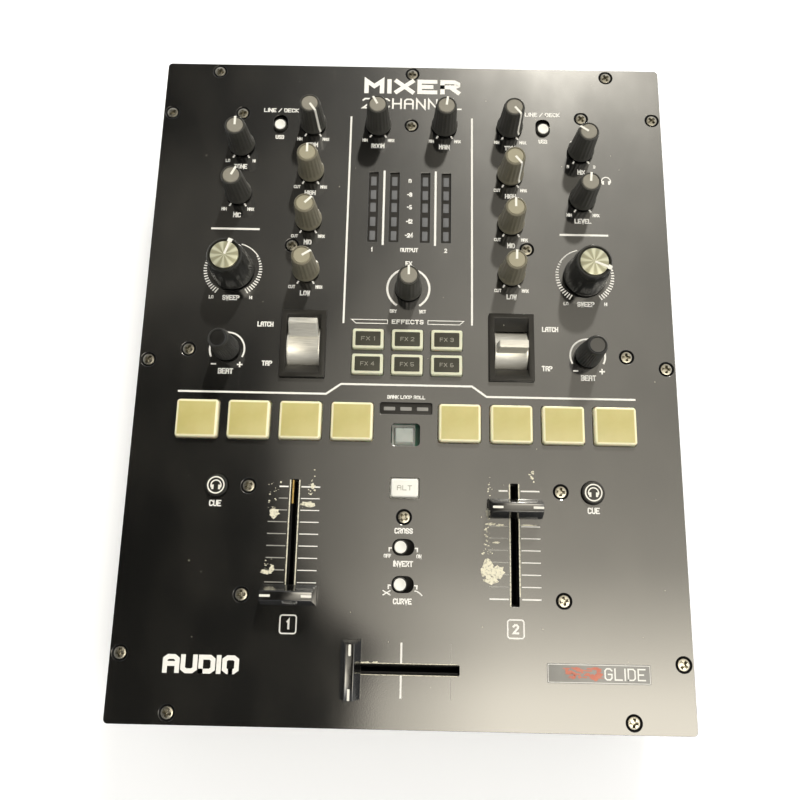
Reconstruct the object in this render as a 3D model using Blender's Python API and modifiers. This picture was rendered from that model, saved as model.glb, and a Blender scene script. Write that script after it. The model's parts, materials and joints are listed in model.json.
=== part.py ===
"""A two-channel battle mixer: a sheet-metal tray, a flat control panel, and the controls under your hands.

The mixer rests on four feet at z = 0, with +X to the right and +Y to the rear. Its origin is the middle of
its footprint, rear sockets included. Lengths are in millimetres, and MM turns them into Blender's metres.
Places on the panel are measured from the panel's centre, and heights on the panel from its top face.
"""

import math

import bmesh
import bpy
from mathutils import Matrix

MM = 0.001
GAP = 0.3  # between neighbouring solids

# Case
PANEL_W = 249.0
PANEL_D = 315.0
PANEL_TOP = 60.0
PLATE = 2.0
SHEET = 1.5
OVERHANG = 1.0  # of the panel past the tray's walls
TRAY_LOW = 6.0
FLANGE = 8.0
FOOT_AT = (100.0, 130.0)
FOOT_R = 9.0
SOCKET_REACH = 8.0  # of the rear sockets past the panel's rear edge
PANEL_Y = -SOCKET_REACH / 2
REAR = PANEL_D / 2

# Heights below the panel's top face
BOARD = -17.0
BOARD_T = 1.6
POT_TOP = -3.6
SWITCH_TOP = -10.0
SHAFT_LOW = -14.0

# Controls: the places of their centres on the panel
EQ_X = 49.0
EQ_ROWS = {"trim": 124.5, "high": 98.5, "mid": 72.5, "low": 46.5}
OUTER_X = 84.0
SMALL_KNOBS = {
    "room_level_knob": (-16.5, 124.5),
    "main_level_knob": (16.5, 124.5),
    "mic_tone_knob": (-OUTER_X, 112.0),
    "mic_level_knob": (-OUTER_X, 86.0),
    "phones_mix_knob": (OUTER_X, 112.0),
    "phones_level_knob": (OUTER_X, 86.0),
    "effect_mix_knob": (0.0, 38.0),
}
FILTER_Y = 45.8
LOOP_Y = 6.5
PADDLE_AT = (48.5, 9.0)
BEZEL_Y = 9.7
EFFECT_X = (-18.3, 0.0, 18.3)
EFFECT_Y = (12.3, 0.2)
PAD_X = (-95.0, -71.5, -48.0, -24.5, 24.5, 48.0, 71.5, 95.0)
PAD_Y = -26.8
MODE_AT = (0.0, -32.3)
MODE_LAMPS_AT = (0.0, -20.2)
SHIFT_AT = (0.0, -56.6)
CUE_AT = (OUTER_X, -57.0)
INPUT_AT = (65.5, 124.3)
REVERSE_AT = (0.0, -82.5)
SLOPE_AT = (0.0, -98.4)
METER_X = (-18.0, -7.7, 7.4, 17.6)
METER_Y = 80.0
FADER_X = 49.0
FADER_Y = -80.2
CROSSFADER_Y = -133.4

# Controls: sizes and travels
SMALL_KNOB_H = 17.3
FILTER_KNOB_H = 18.5
PAD_SIZE = (19.0, 17.4)
PAD_TRAVEL = 1.5
EFFECT_SIZE = (14.5, 9.5)
SHIFT_SIZE = (12.8, 8.8)
MODE_HOLE = (13.0, 10.4)
BUTTON_TRAVEL = 0.8
CUE_R = 5.0
KNOB_HOLE_R = 3.8
SHAFT_R = 3.0
METER_SIZE = (4.6, 37.0)
MODE_LAMPS_SIZE = (24.0, 5.5)
BEZEL_SIZE = (21.0, 32.5)
ROCKER_R = 10.5
ROCKER_W = 15.2
PIVOT = -8.5  # the paddles' pivot, below the panel's top face
HOLD_TILT = 36.0  # degrees, latched away from the user
SLIDER_R = 3.2
SLIDER_TRAVEL = 2.5
FADER_SLOT = (3.4, 53.2)
FADER_TRAVEL = 47.0
FADER_2_UP = 38.8  # how far fader 2 stands above the bottom of its travel
CROSSFADER_SLOT = (49.6, 4.2)
CROSSFADER_TRAVEL = 44.4
CROSSFADER_REST = -21.3  # a little short of the left end
CAP_BASE = (23.8, 8.6)
CAP_TOP = (22.0, 3.8)
SCREWS = (
    [(side * 98.0, end) for side in (-1, 1) for end in (153.3, -152.7)]
    + [(side * 120.2, y) for side in (-1, 1) for y in (129.5, 0.8, -129.1)]
    + [(0.0, 153.5)]
)
STANDOFFS = [(0.0, 124.4), (0.0, -69.4)] + [
    (side * x, y)
    for side in (-1, 1)
    for x, y in ((84.8, 129.8), (56.5, 59.0), (102.0, 6.2), (69.8, -56.9), (70.0, -104.0))
]

# Rear sockets, by the place of their centres across the case and above the feet
INLET_AT = (-98.0, 31.0)
INLET_SIZE = (27.0, 20.0)
INLET_HOLE = (22.0, 14.6)
ROCKER_SWITCH_AT = (-70.0, 31.0)
USB_AT = (-49.0, 24.0)
USB_HOLE = (8.8, 8.0)
XLR_X = (-22.0, 9.0)
XLR_Z = 31.0
PHONO_X = (36.0, 51.0, 66.0, 81.0)
PHONO_Z = (22.0, 40.0)
MIC_AT = (103.0, 31.0)
PHONES_AT = (84.0, 33.0)
SMALL_PHONES_AT = (103.0, 36.0)
WALL_IN = REAR - OVERHANG - SHEET  # the inner face of the tray's front and rear walls


def workshop():
    """The collection that holds shapes only while they are being joined."""
    name = "cutters"
    if name not in bpy.data.collections:
        bpy.context.scene.collection.children.link(bpy.data.collections.new(name))
    return bpy.data.collections[name]


def shape(bm):
    """A helper object from a bmesh in millimetres."""
    bmesh.ops.scale(bm, vec=(MM, MM, MM), verts=bm.verts)
    mesh = bpy.data.meshes.new("shape")
    bm.to_mesh(mesh)
    bm.free()
    helper = bpy.data.objects.new("shape", mesh)
    helper.hide_render = True
    helper.display_type = "WIRE"
    workshop().objects.link(helper)
    return helper


def slab(size, low, high, at=(0.0, 0.0), corner=0.0, steps=2, top=None):
    """A block of the given plan size, with optional round corners or a smaller top."""
    bm = bmesh.new()
    bmesh.ops.create_cube(bm, size=1.0)
    for vertex in bm.verts:
        plan = top if top and vertex.co.z > 0 else size
        vertex.co.x *= plan[0]
        vertex.co.y *= plan[1]
        vertex.co.z = high if vertex.co.z > 0 else low
    if corner:
        upright = [e for e in bm.edges if abs(e.verts[0].co.z - e.verts[1].co.z) > GAP]
        bmesh.ops.bevel(bm, geom=upright, offset=corner, segments=steps, profile=0.5, affect="EDGES")
    bmesh.ops.translate(bm, vec=(*at, 0.0), verts=bm.verts)
    return shape(bm)


def rod(radius, low, high, at=(0.0, 0.0), sides=12, end_radius=None, along="Z"):
    """A rod or cone along Z, or along X or Y with at = its place on the other two axes."""
    bm = bmesh.new()
    far = radius if end_radius is None else end_radius
    bmesh.ops.create_cone(
        bm, cap_ends=True, segments=sides, radius1=radius, radius2=far, depth=high - low
    )
    bmesh.ops.translate(bm, vec=(0.0, 0.0, (low + high) / 2), verts=bm.verts)
    turn, shift = {
        "X": (Matrix.Rotation(math.pi / 2, 3, "Y"), (0.0, *at)),
        "Y": (Matrix.Rotation(-math.pi / 2, 3, "X"), (at[0], 0.0, at[1])),
        "Z": (Matrix.Identity(3), (*at, 0.0)),
    }[along]
    bmesh.ops.rotate(bm, matrix=turn, verts=bm.verts)
    bmesh.ops.translate(bm, vec=shift, verts=bm.verts)
    return shape(bm)


def turned(profile, sides):
    """A solid of revolution about Z; the profile runs down its outer side from the axis to the axis."""
    bm = bmesh.new()
    points = [bm.verts.new((radius, 0.0, height)) for radius, height in profile]
    for upper, lower in zip(points, points[1:]):
        bm.edges.new((upper, lower))
    helper = shape(bm)
    screw = helper.modifiers.new("Turn", "SCREW")
    screw.steps = sides
    screw.render_steps = sides
    screw.use_merge_vertices = True
    screw.merge_threshold = 0.0001
    return helper


def prism(outline, half_width):
    """An outline of (y, z) points, extruded along X."""
    bm = bmesh.new()
    face = bm.faces.new([bm.verts.new((-half_width, y, z)) for y, z in outline])
    side = bmesh.ops.extrude_face_region(bm, geom=[face])
    moved = [item for item in side["geom"] if isinstance(item, bmesh.types.BMVert)]
    bmesh.ops.translate(bm, vec=(2 * half_width, 0.0, 0.0), verts=moved)
    bmesh.ops.recalc_face_normals(bm, faces=bm.faces)
    return shape(bm)


def combine(shapes, cuts=()):
    """One mesh: the shapes joined together, less the cuts."""
    first, *others = shapes
    for operation, operands in (("UNION", others), ("DIFFERENCE", cuts)):
        if not operands:
            continue
        group = bpy.data.collections.new(operation.lower())
        workshop().children.link(group)
        for operand in operands:
            group.objects.link(operand)
        modifier = first.modifiers.new(operation.title(), "BOOLEAN")
        modifier.operation = operation
        modifier.operand_type = "COLLECTION"
        modifier.collection = group
    depsgraph = bpy.context.evaluated_depsgraph_get()
    mesh = bpy.data.meshes.new_from_object(first.evaluated_get(depsgraph))
    mesh.materials.clear()
    mesh.shade_smooth()
    mesh.set_sharp_from_angle(angle=math.radians(35.0))
    for helper in (*shapes, *cuts):
        bpy.data.objects.remove(helper)
    for group in list(workshop().children):
        bpy.data.collections.remove(group)
    return mesh


def finish(name, colour, roughness, metallic=0.0):
    material = bpy.data.materials.new(name)
    material.use_nodes = True
    shader = material.node_tree.nodes["Principled BSDF"]
    shader.inputs["Base Color"].default_value = (*colour, 1.0)
    shader.inputs["Roughness"].default_value = roughness
    shader.inputs["Metallic"].default_value = metallic
    return material


class Bench:
    """Where the finished pieces are placed, under one empty at the middle of the panel."""

    def __init__(self):
        self.parts = bpy.data.collections.new("dj_mixer")
        bpy.context.scene.collection.children.link(self.parts)
        self.panel = bpy.data.objects.new("panel_centre", None)
        self.panel.location = (0.0, PANEL_Y * MM, 0.0)
        self.parts.objects.link(self.panel)

    def place(self, name, mesh, material, at=(0.0, 0.0, 0.0), rotation=(0.0, 0.0, 0.0)):
        piece = bpy.data.objects.new(name, mesh)
        if not mesh.materials:
            mesh.materials.append(material)
        piece.material_slots[0].link = "OBJECT"
        piece.material_slots[0].material = material
        piece.location = [value * MM for value in at]
        piece.rotation_euler = [math.radians(angle) for angle in rotation]
        piece.parent = self.panel
        self.parts.objects.link(piece)
        return piece

    def place_control(self, name, mesh, material, at, turn=0.0):
        """On the panel's top face; turn is clockwise from above, in degrees."""
        return self.place(name, mesh, material, (*at, PANEL_TOP), (0.0, 0.0, -turn))


def grow(size, margin):
    return (size[0] + 2 * margin, size[1] + 2 * margin)


def knob_places():
    """Every place where a shaft comes through the panel."""
    places = [(side * EQ_X, y) for side in (-1, 1) for y in EQ_ROWS.values()]
    places += list(SMALL_KNOBS.values())
    places += [(side * OUTER_X, y) for side in (-1, 1) for y in (FILTER_Y, LOOP_Y)]
    return places


def button_places():
    """Every place where a button has a tact switch under it."""
    places = [(x, PAD_Y) for x in PAD_X]
    places += [(x, y) for x in EFFECT_X for y in EFFECT_Y]
    places += [MODE_AT, SHIFT_AT, CUE_AT, (-CUE_AT[0], CUE_AT[1])]
    return places


def slider_slots():
    """The four small slide switches: (place, slot size, direction of travel)."""
    clear = 2 * (SLIDER_R + GAP)
    length = clear + SLIDER_TRAVEL
    upright = [((side * INPUT_AT[0], INPUT_AT[1]), (clear, length)) for side in (-1, 1)]
    level = [(place, (length, clear)) for place in (REVERSE_AT, SLOPE_AT)]
    return upright + level


def top_plate():
    def hole(size, at, corner=0.0):
        return slab(size, PANEL_TOP - 2 * PLATE, PANEL_TOP + PLATE, at, corner)

    def drilled(radius, at, sides=12):
        return rod(radius, PANEL_TOP - 2 * PLATE, PANEL_TOP + PLATE, at, sides)

    blank = slab((PANEL_W, PANEL_D), PANEL_TOP - PLATE, PANEL_TOP, corner=2.0, steps=3)
    cuts = [drilled(KNOB_HOLE_R, at) for at in knob_places()]
    cuts += [hole(grow(PAD_SIZE, 0.4), (x, PAD_Y), 1.5) for x in PAD_X]
    cuts += [hole(grow(EFFECT_SIZE, GAP), (x, y), 1.0) for x in EFFECT_X for y in EFFECT_Y]
    cuts += [hole(METER_SIZE, (x, METER_Y)) for x in METER_X]
    cuts += [hole(size, at, SLIDER_R) for at, size in slider_slots()]
    cuts.append(hole(MODE_LAMPS_SIZE, MODE_LAMPS_AT))
    cuts.append(hole(MODE_HOLE, MODE_AT, 1.8))
    cuts.append(hole(grow(SHIFT_SIZE, GAP), SHIFT_AT, 1.0))
    cuts.append(hole(CROSSFADER_SLOT, (0.0, CROSSFADER_Y), 0.6))
    for side in (-1, 1):
        cuts.append(hole(FADER_SLOT, (side * FADER_X, FADER_Y), 0.6))
        cuts.append(hole((19.8, 30.6), (side * PADDLE_AT[0], BEZEL_Y)))
        cuts.append(drilled(CUE_R + GAP, (side * CUE_AT[0], CUE_AT[1]), 16))
    for at in SCREWS + STANDOFFS:
        cuts.append(rod(0.9, PANEL_TOP - 2 * PLATE, PANEL_TOP + 0.7, at, 8, end_radius=3.9))
    return combine([blank], cuts)


def rear_cutouts():
    """The openings in the tray's rear wall, each a little larger than its socket."""
    low, high = WALL_IN - SHEET, WALL_IN + 2 * SHEET

    def window(size, at):
        cutter = slab((size[0] + 2 * GAP, high - low), 0.0, size[1] + 2 * GAP)
        cutter.location = [v * MM for v in (at[0], (low + high) / 2, at[1] - size[1] / 2 - GAP)]
        return cutter

    cuts = [window(INLET_SIZE, INLET_AT), window((14.6, 23.0), ROCKER_SWITCH_AT)]
    cuts.append(window((12.0, 11.0), USB_AT))
    cuts += [rod(12.0, low, high, (x, XLR_Z), 20, along="Y") for x in XLR_X]
    cuts += [rod(4.6, low, high, (x, z), 12, along="Y") for x in PHONO_X for z in PHONO_Z]
    cuts.append(rod(6.0, low, high, MIC_AT, 12, along="Y"))
    return cuts


def base_tray():
    outer = (PANEL_W - 2 * OVERHANG, PANEL_D - 2 * OVERHANG)
    inner = grow(outer, -SHEET)
    mouth = grow(outer, -FLANGE)
    top = PANEL_TOP - PLATE - GAP
    front = -(WALL_IN + 2 * SHEET), -(WALL_IN - SHEET)
    cuts = [
        slab(inner, TRAY_LOW + SHEET, top - SHEET),
        slab(mouth, top - 2 * SHEET, top + SHEET),
        rod(5.6, *front, PHONES_AT, 12, along="Y"),
        rod(3.6, *front, SMALL_PHONES_AT, 12, along="Y"),
    ]
    cuts += rear_cutouts()
    return combine([slab(outer, TRAY_LOW, top, corner=2.0)], cuts)


def control_board():
    """The board under the panel, with its pots, switches, faders, lamps and the two phones jacks."""
    plan = (224.0, 252.5)
    middle = (0.0, 7.25)
    solids = [slab(plan, BOARD - BOARD_T, BOARD, middle)]
    cuts = []
    for at in knob_places():
        solids.append(slab((10.4, 10.4), BOARD - 1.0, POT_TOP, at))
        cuts.append(rod(SHAFT_R + 0.4, SHAFT_LOW - 1.0, 0.0, at))
    solids += [slab((6.0, 6.0), BOARD - 1.0, SWITCH_TOP, at) for at in button_places()]
    solids += [rod(2.8, BOARD - 1.0, -PLATE - GAP, at, 6) for at in STANDOFFS]
    lamps = -0.6
    solids += [slab(grow(METER_SIZE, -GAP), BOARD - 1.0, lamps, (x, METER_Y)) for x in METER_X]
    solids.append(slab(grow(MODE_LAMPS_SIZE, -GAP), BOARD - 1.0, lamps, MODE_LAMPS_AT))
    for at, size in slider_slots():
        solids.append(slab(grow(size, 1.0), BOARD - 1.0, -7.0, at))
        cuts.append(slab(grow(size, -2.0), -13.0, -5.0, at))
    for side in (-1, 1):
        solids.append(slab((12.0, 76.0), BOARD - 1.0, -5.0, (side * FADER_X, FADER_Y)))
        cuts.append(slab((2.6, FADER_TRAVEL + 6.0), -13.0, 0.0, (side * FADER_X, FADER_Y)))
    jacks_x = (PHONES_AT[0] + SMALL_PHONES_AT[0]) / 2
    solids.append(slab((36.0, 45.0), BOARD - BOARD_T, BOARD, (jacks_x, -132.0)))
    front = -WALL_IN
    for at, width, nose, bore, reach in (
        (PHONES_AT, 16.0, 5.2, 3.3, 20.0),
        (SMALL_PHONES_AT, 9.0, 3.2, 1.8, 12.0),
    ):
        height = at[1] - PANEL_TOP
        body = (width, 24.0)
        solids.append(slab(body, height - 6.6, BOARD - 1.0, (at[0], front + GAP + 12.0)))
        solids.append(rod(nose, front - SHEET - GAP, front + 4.0, (at[0], height), along="Y"))
        cuts.append(rod(bore, front - 4.0, front + reach, (at[0], height), along="Y"))
    return combine(solids, cuts)


def socket_board():
    """The board at the rear, with the supply, the sockets and the housing of the power switch."""
    board = 13.0
    rim = WALL_IN + SHEET + 0.8
    inside = WALL_IN - GAP

    def block(size, at, near, far, low=board - 1.0):
        """A housing from the board up, size wide and high, from near to far in y."""
        solid = slab((size[0], far - near), low, at[1] + size[1] / 2)
        solid.location = (at[0] * MM, (near + far) / 2 * MM, 0.0)
        return solid

    def pocket(size, at, near):
        low = at[1] - size[1] / 2
        return block(size, at, near, REAR + SOCKET_REACH, low)

    solids = [slab((228.0, 34.0), board - BOARD_T, board, (0.0, 136.0))]
    solids.append(slab((56.0, 50.0), board - BOARD_T, board, (-86.0, 100.0)))
    solids.append(slab((36.0, 32.0), board - 1.0, 40.0, (-92.0, 98.0)))
    solids += [rod(6.0, board - 1.0, 34.0, (-66.0, y), 12) for y in (88.0, 104.0)]
    solids.append(block(INLET_SIZE, INLET_AT, 132.0, rim, INLET_AT[1] - INLET_SIZE[1] / 2))
    solids.append(block((20.0, 0.0), INLET_AT, 134.0, 150.0))
    solids.append(block((14.6, 23.0), ROCKER_SWITCH_AT, 136.0, rim, ROCKER_SWITCH_AT[1] - 11.5))
    solids.append(block((8.0, 0.0), ROCKER_SWITCH_AT, 137.0, 141.0))
    solids.append(block((12.0, 11.0), USB_AT, 138.0, rim, USB_AT[1] - 5.5))
    solids.append(block((8.0, 0.0), USB_AT, 139.0, 146.0))
    cuts = [pocket(INLET_HOLE, INLET_AT, 141.0), pocket((11.0, 20.4), ROCKER_SWITCH_AT, 142.0)]
    cuts.append(pocket(USB_HOLE, USB_AT, 146.0))
    pins = (ROCKER_SWITCH_AT[0] - 10.0, ROCKER_SWITCH_AT[0] + 10.0)
    cuts.append(rod(1.8, *pins, (150.0, ROCKER_SWITCH_AT[1]), along="X"))
    for x in XLR_X:
        solids.append(block((26.0, 26.0), (x, XLR_Z), 134.0, inside))
        solids.append(rod(11.6, 150.0, rim, (x, XLR_Z), 20, along="Y"))
        cuts.append(rod(9.4, 145.0, REAR + SOCKET_REACH, (x, XLR_Z), 20, along="Y"))
    for x in PHONO_X:
        solids.append(block((12.0, 26.0), (x, 35.0), 140.0, inside))
        for z in PHONO_Z:
            solids.append(rod(4.2, 150.0, REAR + SOCKET_REACH, (x, z), 12, along="Y"))
            cuts.append(rod(1.7, REAR, REAR + 2 * SOCKET_REACH, (x, z), 8, along="Y"))
    solids.append(block((16.0, 16.0), MIC_AT, 130.0, inside))
    solids.append(rod(5.6, 150.0, rim, MIC_AT, 12, along="Y"))
    cuts.append(rod(3.3, 133.0, REAR + SOCKET_REACH, MIC_AT, 12, along="Y"))
    return combine(solids, cuts)


def crossfader_module():
    """The replaceable crossfader: its ears lie under the panel, and its slot faces up."""
    at = (0.0, CROSSFADER_Y)
    body = slab((74.0, 14.0), -18.0, -4.0, at)
    ears = slab((92.0, 16.0), -4.5, -PLATE - GAP, at)
    slot = slab((CROSSFADER_TRAVEL + 6.0, 2.6), -13.0, 0.0, at)
    return combine([body, ears], [slot])


def foot():
    top = TRAY_LOW - GAP
    profile = [(0.0, top), (FOOT_R, top), (FOOT_R, 4.0), (FOOT_R - 0.8, 0.0), (0.0, 0.0)]
    return combine([turned(profile, 16)])


def small_knob():
    profile = [
        (0.0, SMALL_KNOB_H),
        (4.9, SMALL_KNOB_H),
        (6.5, 0.8),
        (SHAFT_R, 0.8),
        (SHAFT_R, SHAFT_LOW),
        (0.0, SHAFT_LOW),
    ]
    return combine([turned(profile, 12)])


def filter_knob():
    profile = [
        (0.0, FILTER_KNOB_H),
        (7.8, FILTER_KNOB_H),
        (8.5, FILTER_KNOB_H - 1.1),
        (10.3, 1.8),
        (10.3, 0.8),
        (SHAFT_R, 0.8),
        (SHAFT_R, SHAFT_LOW),
        (0.0, SHAFT_LOW),
    ]
    return combine([turned(profile, 16)])


ENCODER_TOP = 13.6
ENCODER_SHOULDER = 1.4


def loop_encoder():
    """The push shaft: it rises and falls, and the knob turns on its thinner upper part."""
    profile = [
        (0.0, ENCODER_TOP),
        (2.0, ENCODER_TOP),
        (2.0, ENCODER_SHOULDER),
        (SHAFT_R, ENCODER_SHOULDER),
        (SHAFT_R, SHAFT_LOW),
        (0.0, SHAFT_LOW),
    ]
    return combine([turned(profile, 12)])


def loop_knob():
    low = ENCODER_SHOULDER + GAP
    profile = [(0.0, 18.0), (5.1, 18.0), (6.0, low), (0.0, low)]
    return combine([turned(profile, 16)], [rod(2.4, 0.0, ENCODER_TOP + GAP)])


def button(size, top, travel, corner, flange=1.1):
    """A cap that rises through the panel, a flange that keeps it in, and a plunger over its switch."""
    cap = slab(size, -3.0, top, corner=corner)
    collar = slab(grow(size, flange), -4.6, -PLATE - 2 * GAP)
    plunger = slab((4.0, 4.0), SWITCH_TOP + travel + GAP, -4.0)
    return combine([cap, collar, plunger])


def cue_button():
    profile = [
        (0.0, 1.9),
        (CUE_R, 1.9),
        (CUE_R, -PLATE - 2 * GAP),
        (CUE_R + 1.2, -PLATE - 2 * GAP),
        (CUE_R + 1.2, -4.6),
        (2.0, -4.6),
        (2.0, SWITCH_TOP + BUTTON_TRAVEL + GAP),
        (0.0, SWITCH_TOP + BUTTON_TRAVEL + GAP),
    ]
    return combine([turned(profile, 16)])


def mode_button():
    """A bare light guide in its hole, narrower at the top, over a flange and a plunger."""
    guide = slab((10.8, 8.8), -4.0, -0.4, top=(7.8, 6.4))
    collar = slab(grow(MODE_HOLE, 1.0), -4.8, -PLATE - 2 * GAP)
    plunger = slab((4.0, 4.0), SWITCH_TOP + BUTTON_TRAVEL + GAP, -4.0)
    return combine([guide, collar, plunger])


def slider():
    """A round actuator and the stem that carries it down into its switch."""
    return combine([rod(SLIDER_R, -6.6, 1.6, sides=16), slab((1.8, 1.8), -12.0, -6.0)])


def fader_cap():
    """The cap's long side lies along X, across a fader's travel, and its stem goes down the slot."""
    skirt = slab(CAP_BASE, 1.4, 3.4)
    ridge = slab(grow(CAP_BASE, -0.2), 3.0, 12.0, top=CAP_TOP)
    stem = slab((1.6, 4.5), -12.0, 2.0)
    return combine([skirt, ridge, stem])


def crossfader_cap():
    """The same cap for a fader that runs along X, so its long side lies along Y."""
    mesh = fader_cap()
    mesh.transform(Matrix.Rotation(math.pi / 2, 4, "Z"))
    return mesh


def paddle_bezel():
    """A frame over the panel, with sloping ends that run down to the rocker, and walls that hold its pins."""
    pivot_y = PADDLE_AT[1] - BEZEL_Y
    frame = slab(BEZEL_SIZE, GAP, 1.9)
    walls = slab((19.2, 30.0), PIVOT - 3.0, 1.0)
    half = ROCKER_W / 2 + GAP
    reach = ROCKER_R + 0.7
    opening = rod(reach, -half, half, (pivot_y, PIVOT), 32, along="X")
    below = slab((2 * half, 2 * reach), -20.0, PIVOT, (0.0, pivot_y))
    outer = 14.2
    inner = 8.9
    depth = 2.0
    funnel = [(-outer, 1.95), (-outer, 4.0), (outer, 4.0), (outer, 1.95)]
    funnel += [(pivot_y + inner, -depth), (pivot_y - inner, -depth)]
    pins = rod(1.8, -12.0, 12.0, (pivot_y, PIVOT), along="X")
    return combine([frame, walls], [opening, below, prism(funnel, half), pins])


def paddle():
    """A half-round rocker with a fin on top, about a pivot along X at its own origin."""
    rocker = rod(ROCKER_R, -ROCKER_W / 2, ROCKER_W / 2, sides=24, along="X")
    hub = rod(3.2, -ROCKER_W / 2, ROCKER_W / 2, along="X")
    pins = rod(1.5, -ROCKER_W / 2 - 0.9, ROCKER_W / 2 + 0.9, along="X")
    fin = slab((14.4, 5.0), 7.0, 18.0, top=(13.4, 3.8))
    below = slab((4 * ROCKER_R, 4 * ROCKER_R), -4 * ROCKER_R, -0.8)
    half = combine([rocker], [below])
    half_helper = bpy.data.objects.new("shape", half)
    workshop().objects.link(half_helper)
    return combine([half_helper, hub, pins, fin])


def power_rocker():
    """A see-saw key about a pivot along X at its own origin, with its faces to the rear."""
    outline = [(9.4, 8.0), (7.6, 0.0), (9.4, -8.0), (-2.0, -5.0), (-2.0, 5.0)]
    pins = rod(1.5, -6.2, 6.2, along="X")
    return combine([prism(outline, 5.1), pins])


def clear_scene():
    for item in list(bpy.data.objects):
        bpy.data.objects.remove(item)


def build_case(bench):
    black = finish("satin_black_steel", (0.030, 0.030, 0.031), 0.42, 0.3)
    rubber = finish("foot_rubber", (0.02, 0.02, 0.02), 0.8)
    green = finish("circuit_board", (0.02, 0.16, 0.09), 0.45)
    dark = finish("socket_board", (0.03, 0.035, 0.035), 0.5)
    steel = finish("fader_steel", (0.45, 0.45, 0.45), 0.35, 1.0)
    bench.place("top_plate", top_plate(), black)
    bench.place("base_tray", base_tray(), black)
    bench.place("control_board", control_board(), green, (0.0, 0.0, PANEL_TOP))
    bench.place("socket_board", socket_board(), dark)
    bench.place("crossfader_module", crossfader_module(), steel, (0.0, 0.0, PANEL_TOP))
    mesh = foot()
    for end, y in (("front", -1), ("rear", 1)):
        for hand, x in (("left", -1), ("right", 1)):
            place = (x * FOOT_AT[0], y * FOOT_AT[1], 0.0)
            bench.place(f"foot_{end}_{hand}", mesh, rubber, place)


def build_knobs(bench):
    black = finish("black_knob", (0.025, 0.025, 0.024), 0.55)
    olive = finish("grey_knob", (0.12, 0.12, 0.095), 0.6)
    gloss = finish("gloss_black", (0.015, 0.015, 0.015), 0.2)
    knurled = finish("knurled_black", (0.02, 0.02, 0.02), 0.6)
    steel = finish("encoder_steel", (0.5, 0.5, 0.5), 0.35, 1.0)
    turns = {
        "mic_level_knob": 26.0,
        "room_level_knob": -28.0,
        "main_level_knob": 8.0,
        "phones_mix_knob": -56.0,
        "phones_level_knob": 5.0,
        "channel_1_trim_knob": 144.0,
        "channel_1_mid_knob": 45.0,
        "channel_1_low_knob": 57.0,
        "channel_2_trim_knob": 140.0,
        "channel_2_high_knob": 140.0,
        "channel_2_low_knob": 2.0,
        "channel_1_filter_knob": 18.0,
        "channel_2_filter_knob": 112.0,
    }
    mesh = small_knob()
    for name, at in SMALL_KNOBS.items():
        bench.place_control(name, mesh, black, at, turns.get(name, 0.0))
    filters = filter_knob()
    encoders = loop_encoder()
    loops = loop_knob()
    for channel, side in ((1, -1), (2, 1)):
        for row, y in EQ_ROWS.items():
            name = f"channel_{channel}_{row}_knob"
            skin = black if row == "trim" else olive
            bench.place_control(name, mesh, skin, (side * EQ_X, y), turns.get(name, 0.0))
        name = f"channel_{channel}_filter_knob"
        bench.place_control(name, filters, gloss, (side * OUTER_X, FILTER_Y), turns[name])
        at = (side * OUTER_X, LOOP_Y)
        bench.place_control(f"channel_{channel}_loop_encoder", encoders, steel, at)
        bench.place_control(f"channel_{channel}_loop_knob", loops, knurled, at)


def build_buttons(bench):
    cream = finish("pad_rubber", (0.72, 0.66, 0.42), 0.55)
    frosted = finish("frosted_button", (0.70, 0.68, 0.48), 0.4)
    white = finish("white_button", (0.75, 0.75, 0.72), 0.45)
    mesh = button(PAD_SIZE, 2.5, PAD_TRAVEL, 1.5)
    for index, x in enumerate(PAD_X):
        bench.place_control(f"pad_{index + 1}", mesh, cream, (x, PAD_Y))
    mesh = button(EFFECT_SIZE, 2.2, BUTTON_TRAVEL, 1.0, flange=0.9)
    order = [(x, y) for y in EFFECT_Y for x in EFFECT_X]
    for index, at in enumerate(order):
        bench.place_control(f"effect_button_{index + 1}", mesh, frosted, at)
    mesh = button(SHIFT_SIZE, 2.0, BUTTON_TRAVEL, 1.0)
    bench.place_control("shift_button", mesh, white, SHIFT_AT)
    bench.place_control("pad_mode_button", mode_button(), white, MODE_AT)
    mesh = cue_button()
    for channel, side in ((1, -1), (2, 1)):
        bench.place_control(f"channel_{channel}_cue_button", mesh, white, (side * CUE_AT[0], CUE_AT[1]))


def build_sliders(bench):
    """Each small slider rests at the low end of its slot: nearest the user, or at the left."""
    white = finish("slider_white", (0.8, 0.8, 0.78), 0.4)
    mesh = slider()
    back = SLIDER_TRAVEL / 2
    for channel, side in ((1, -1), (2, 1)):
        at = (side * INPUT_AT[0], INPUT_AT[1] - back)
        bench.place_control(f"channel_{channel}_input_switch", mesh, white, at)
    for name, at in (("reverse_switch", REVERSE_AT), ("slope_switch", SLOPE_AT)):
        bench.place_control(name, mesh, white, (at[0] - back, at[1]))


def build_faders(bench):
    black = finish("fader_cap", (0.02, 0.02, 0.02), 0.45)
    mesh = fader_cap()
    bottom = FADER_Y - FADER_TRAVEL / 2
    bench.place_control("channel_1_fader_cap", mesh, black, (-FADER_X, bottom))
    bench.place_control("channel_2_fader_cap", mesh, black, (FADER_X, bottom + FADER_2_UP))
    at = (CROSSFADER_REST, CROSSFADER_Y)
    bench.place_control("crossfader_cap", crossfader_cap(), black, at)


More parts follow.
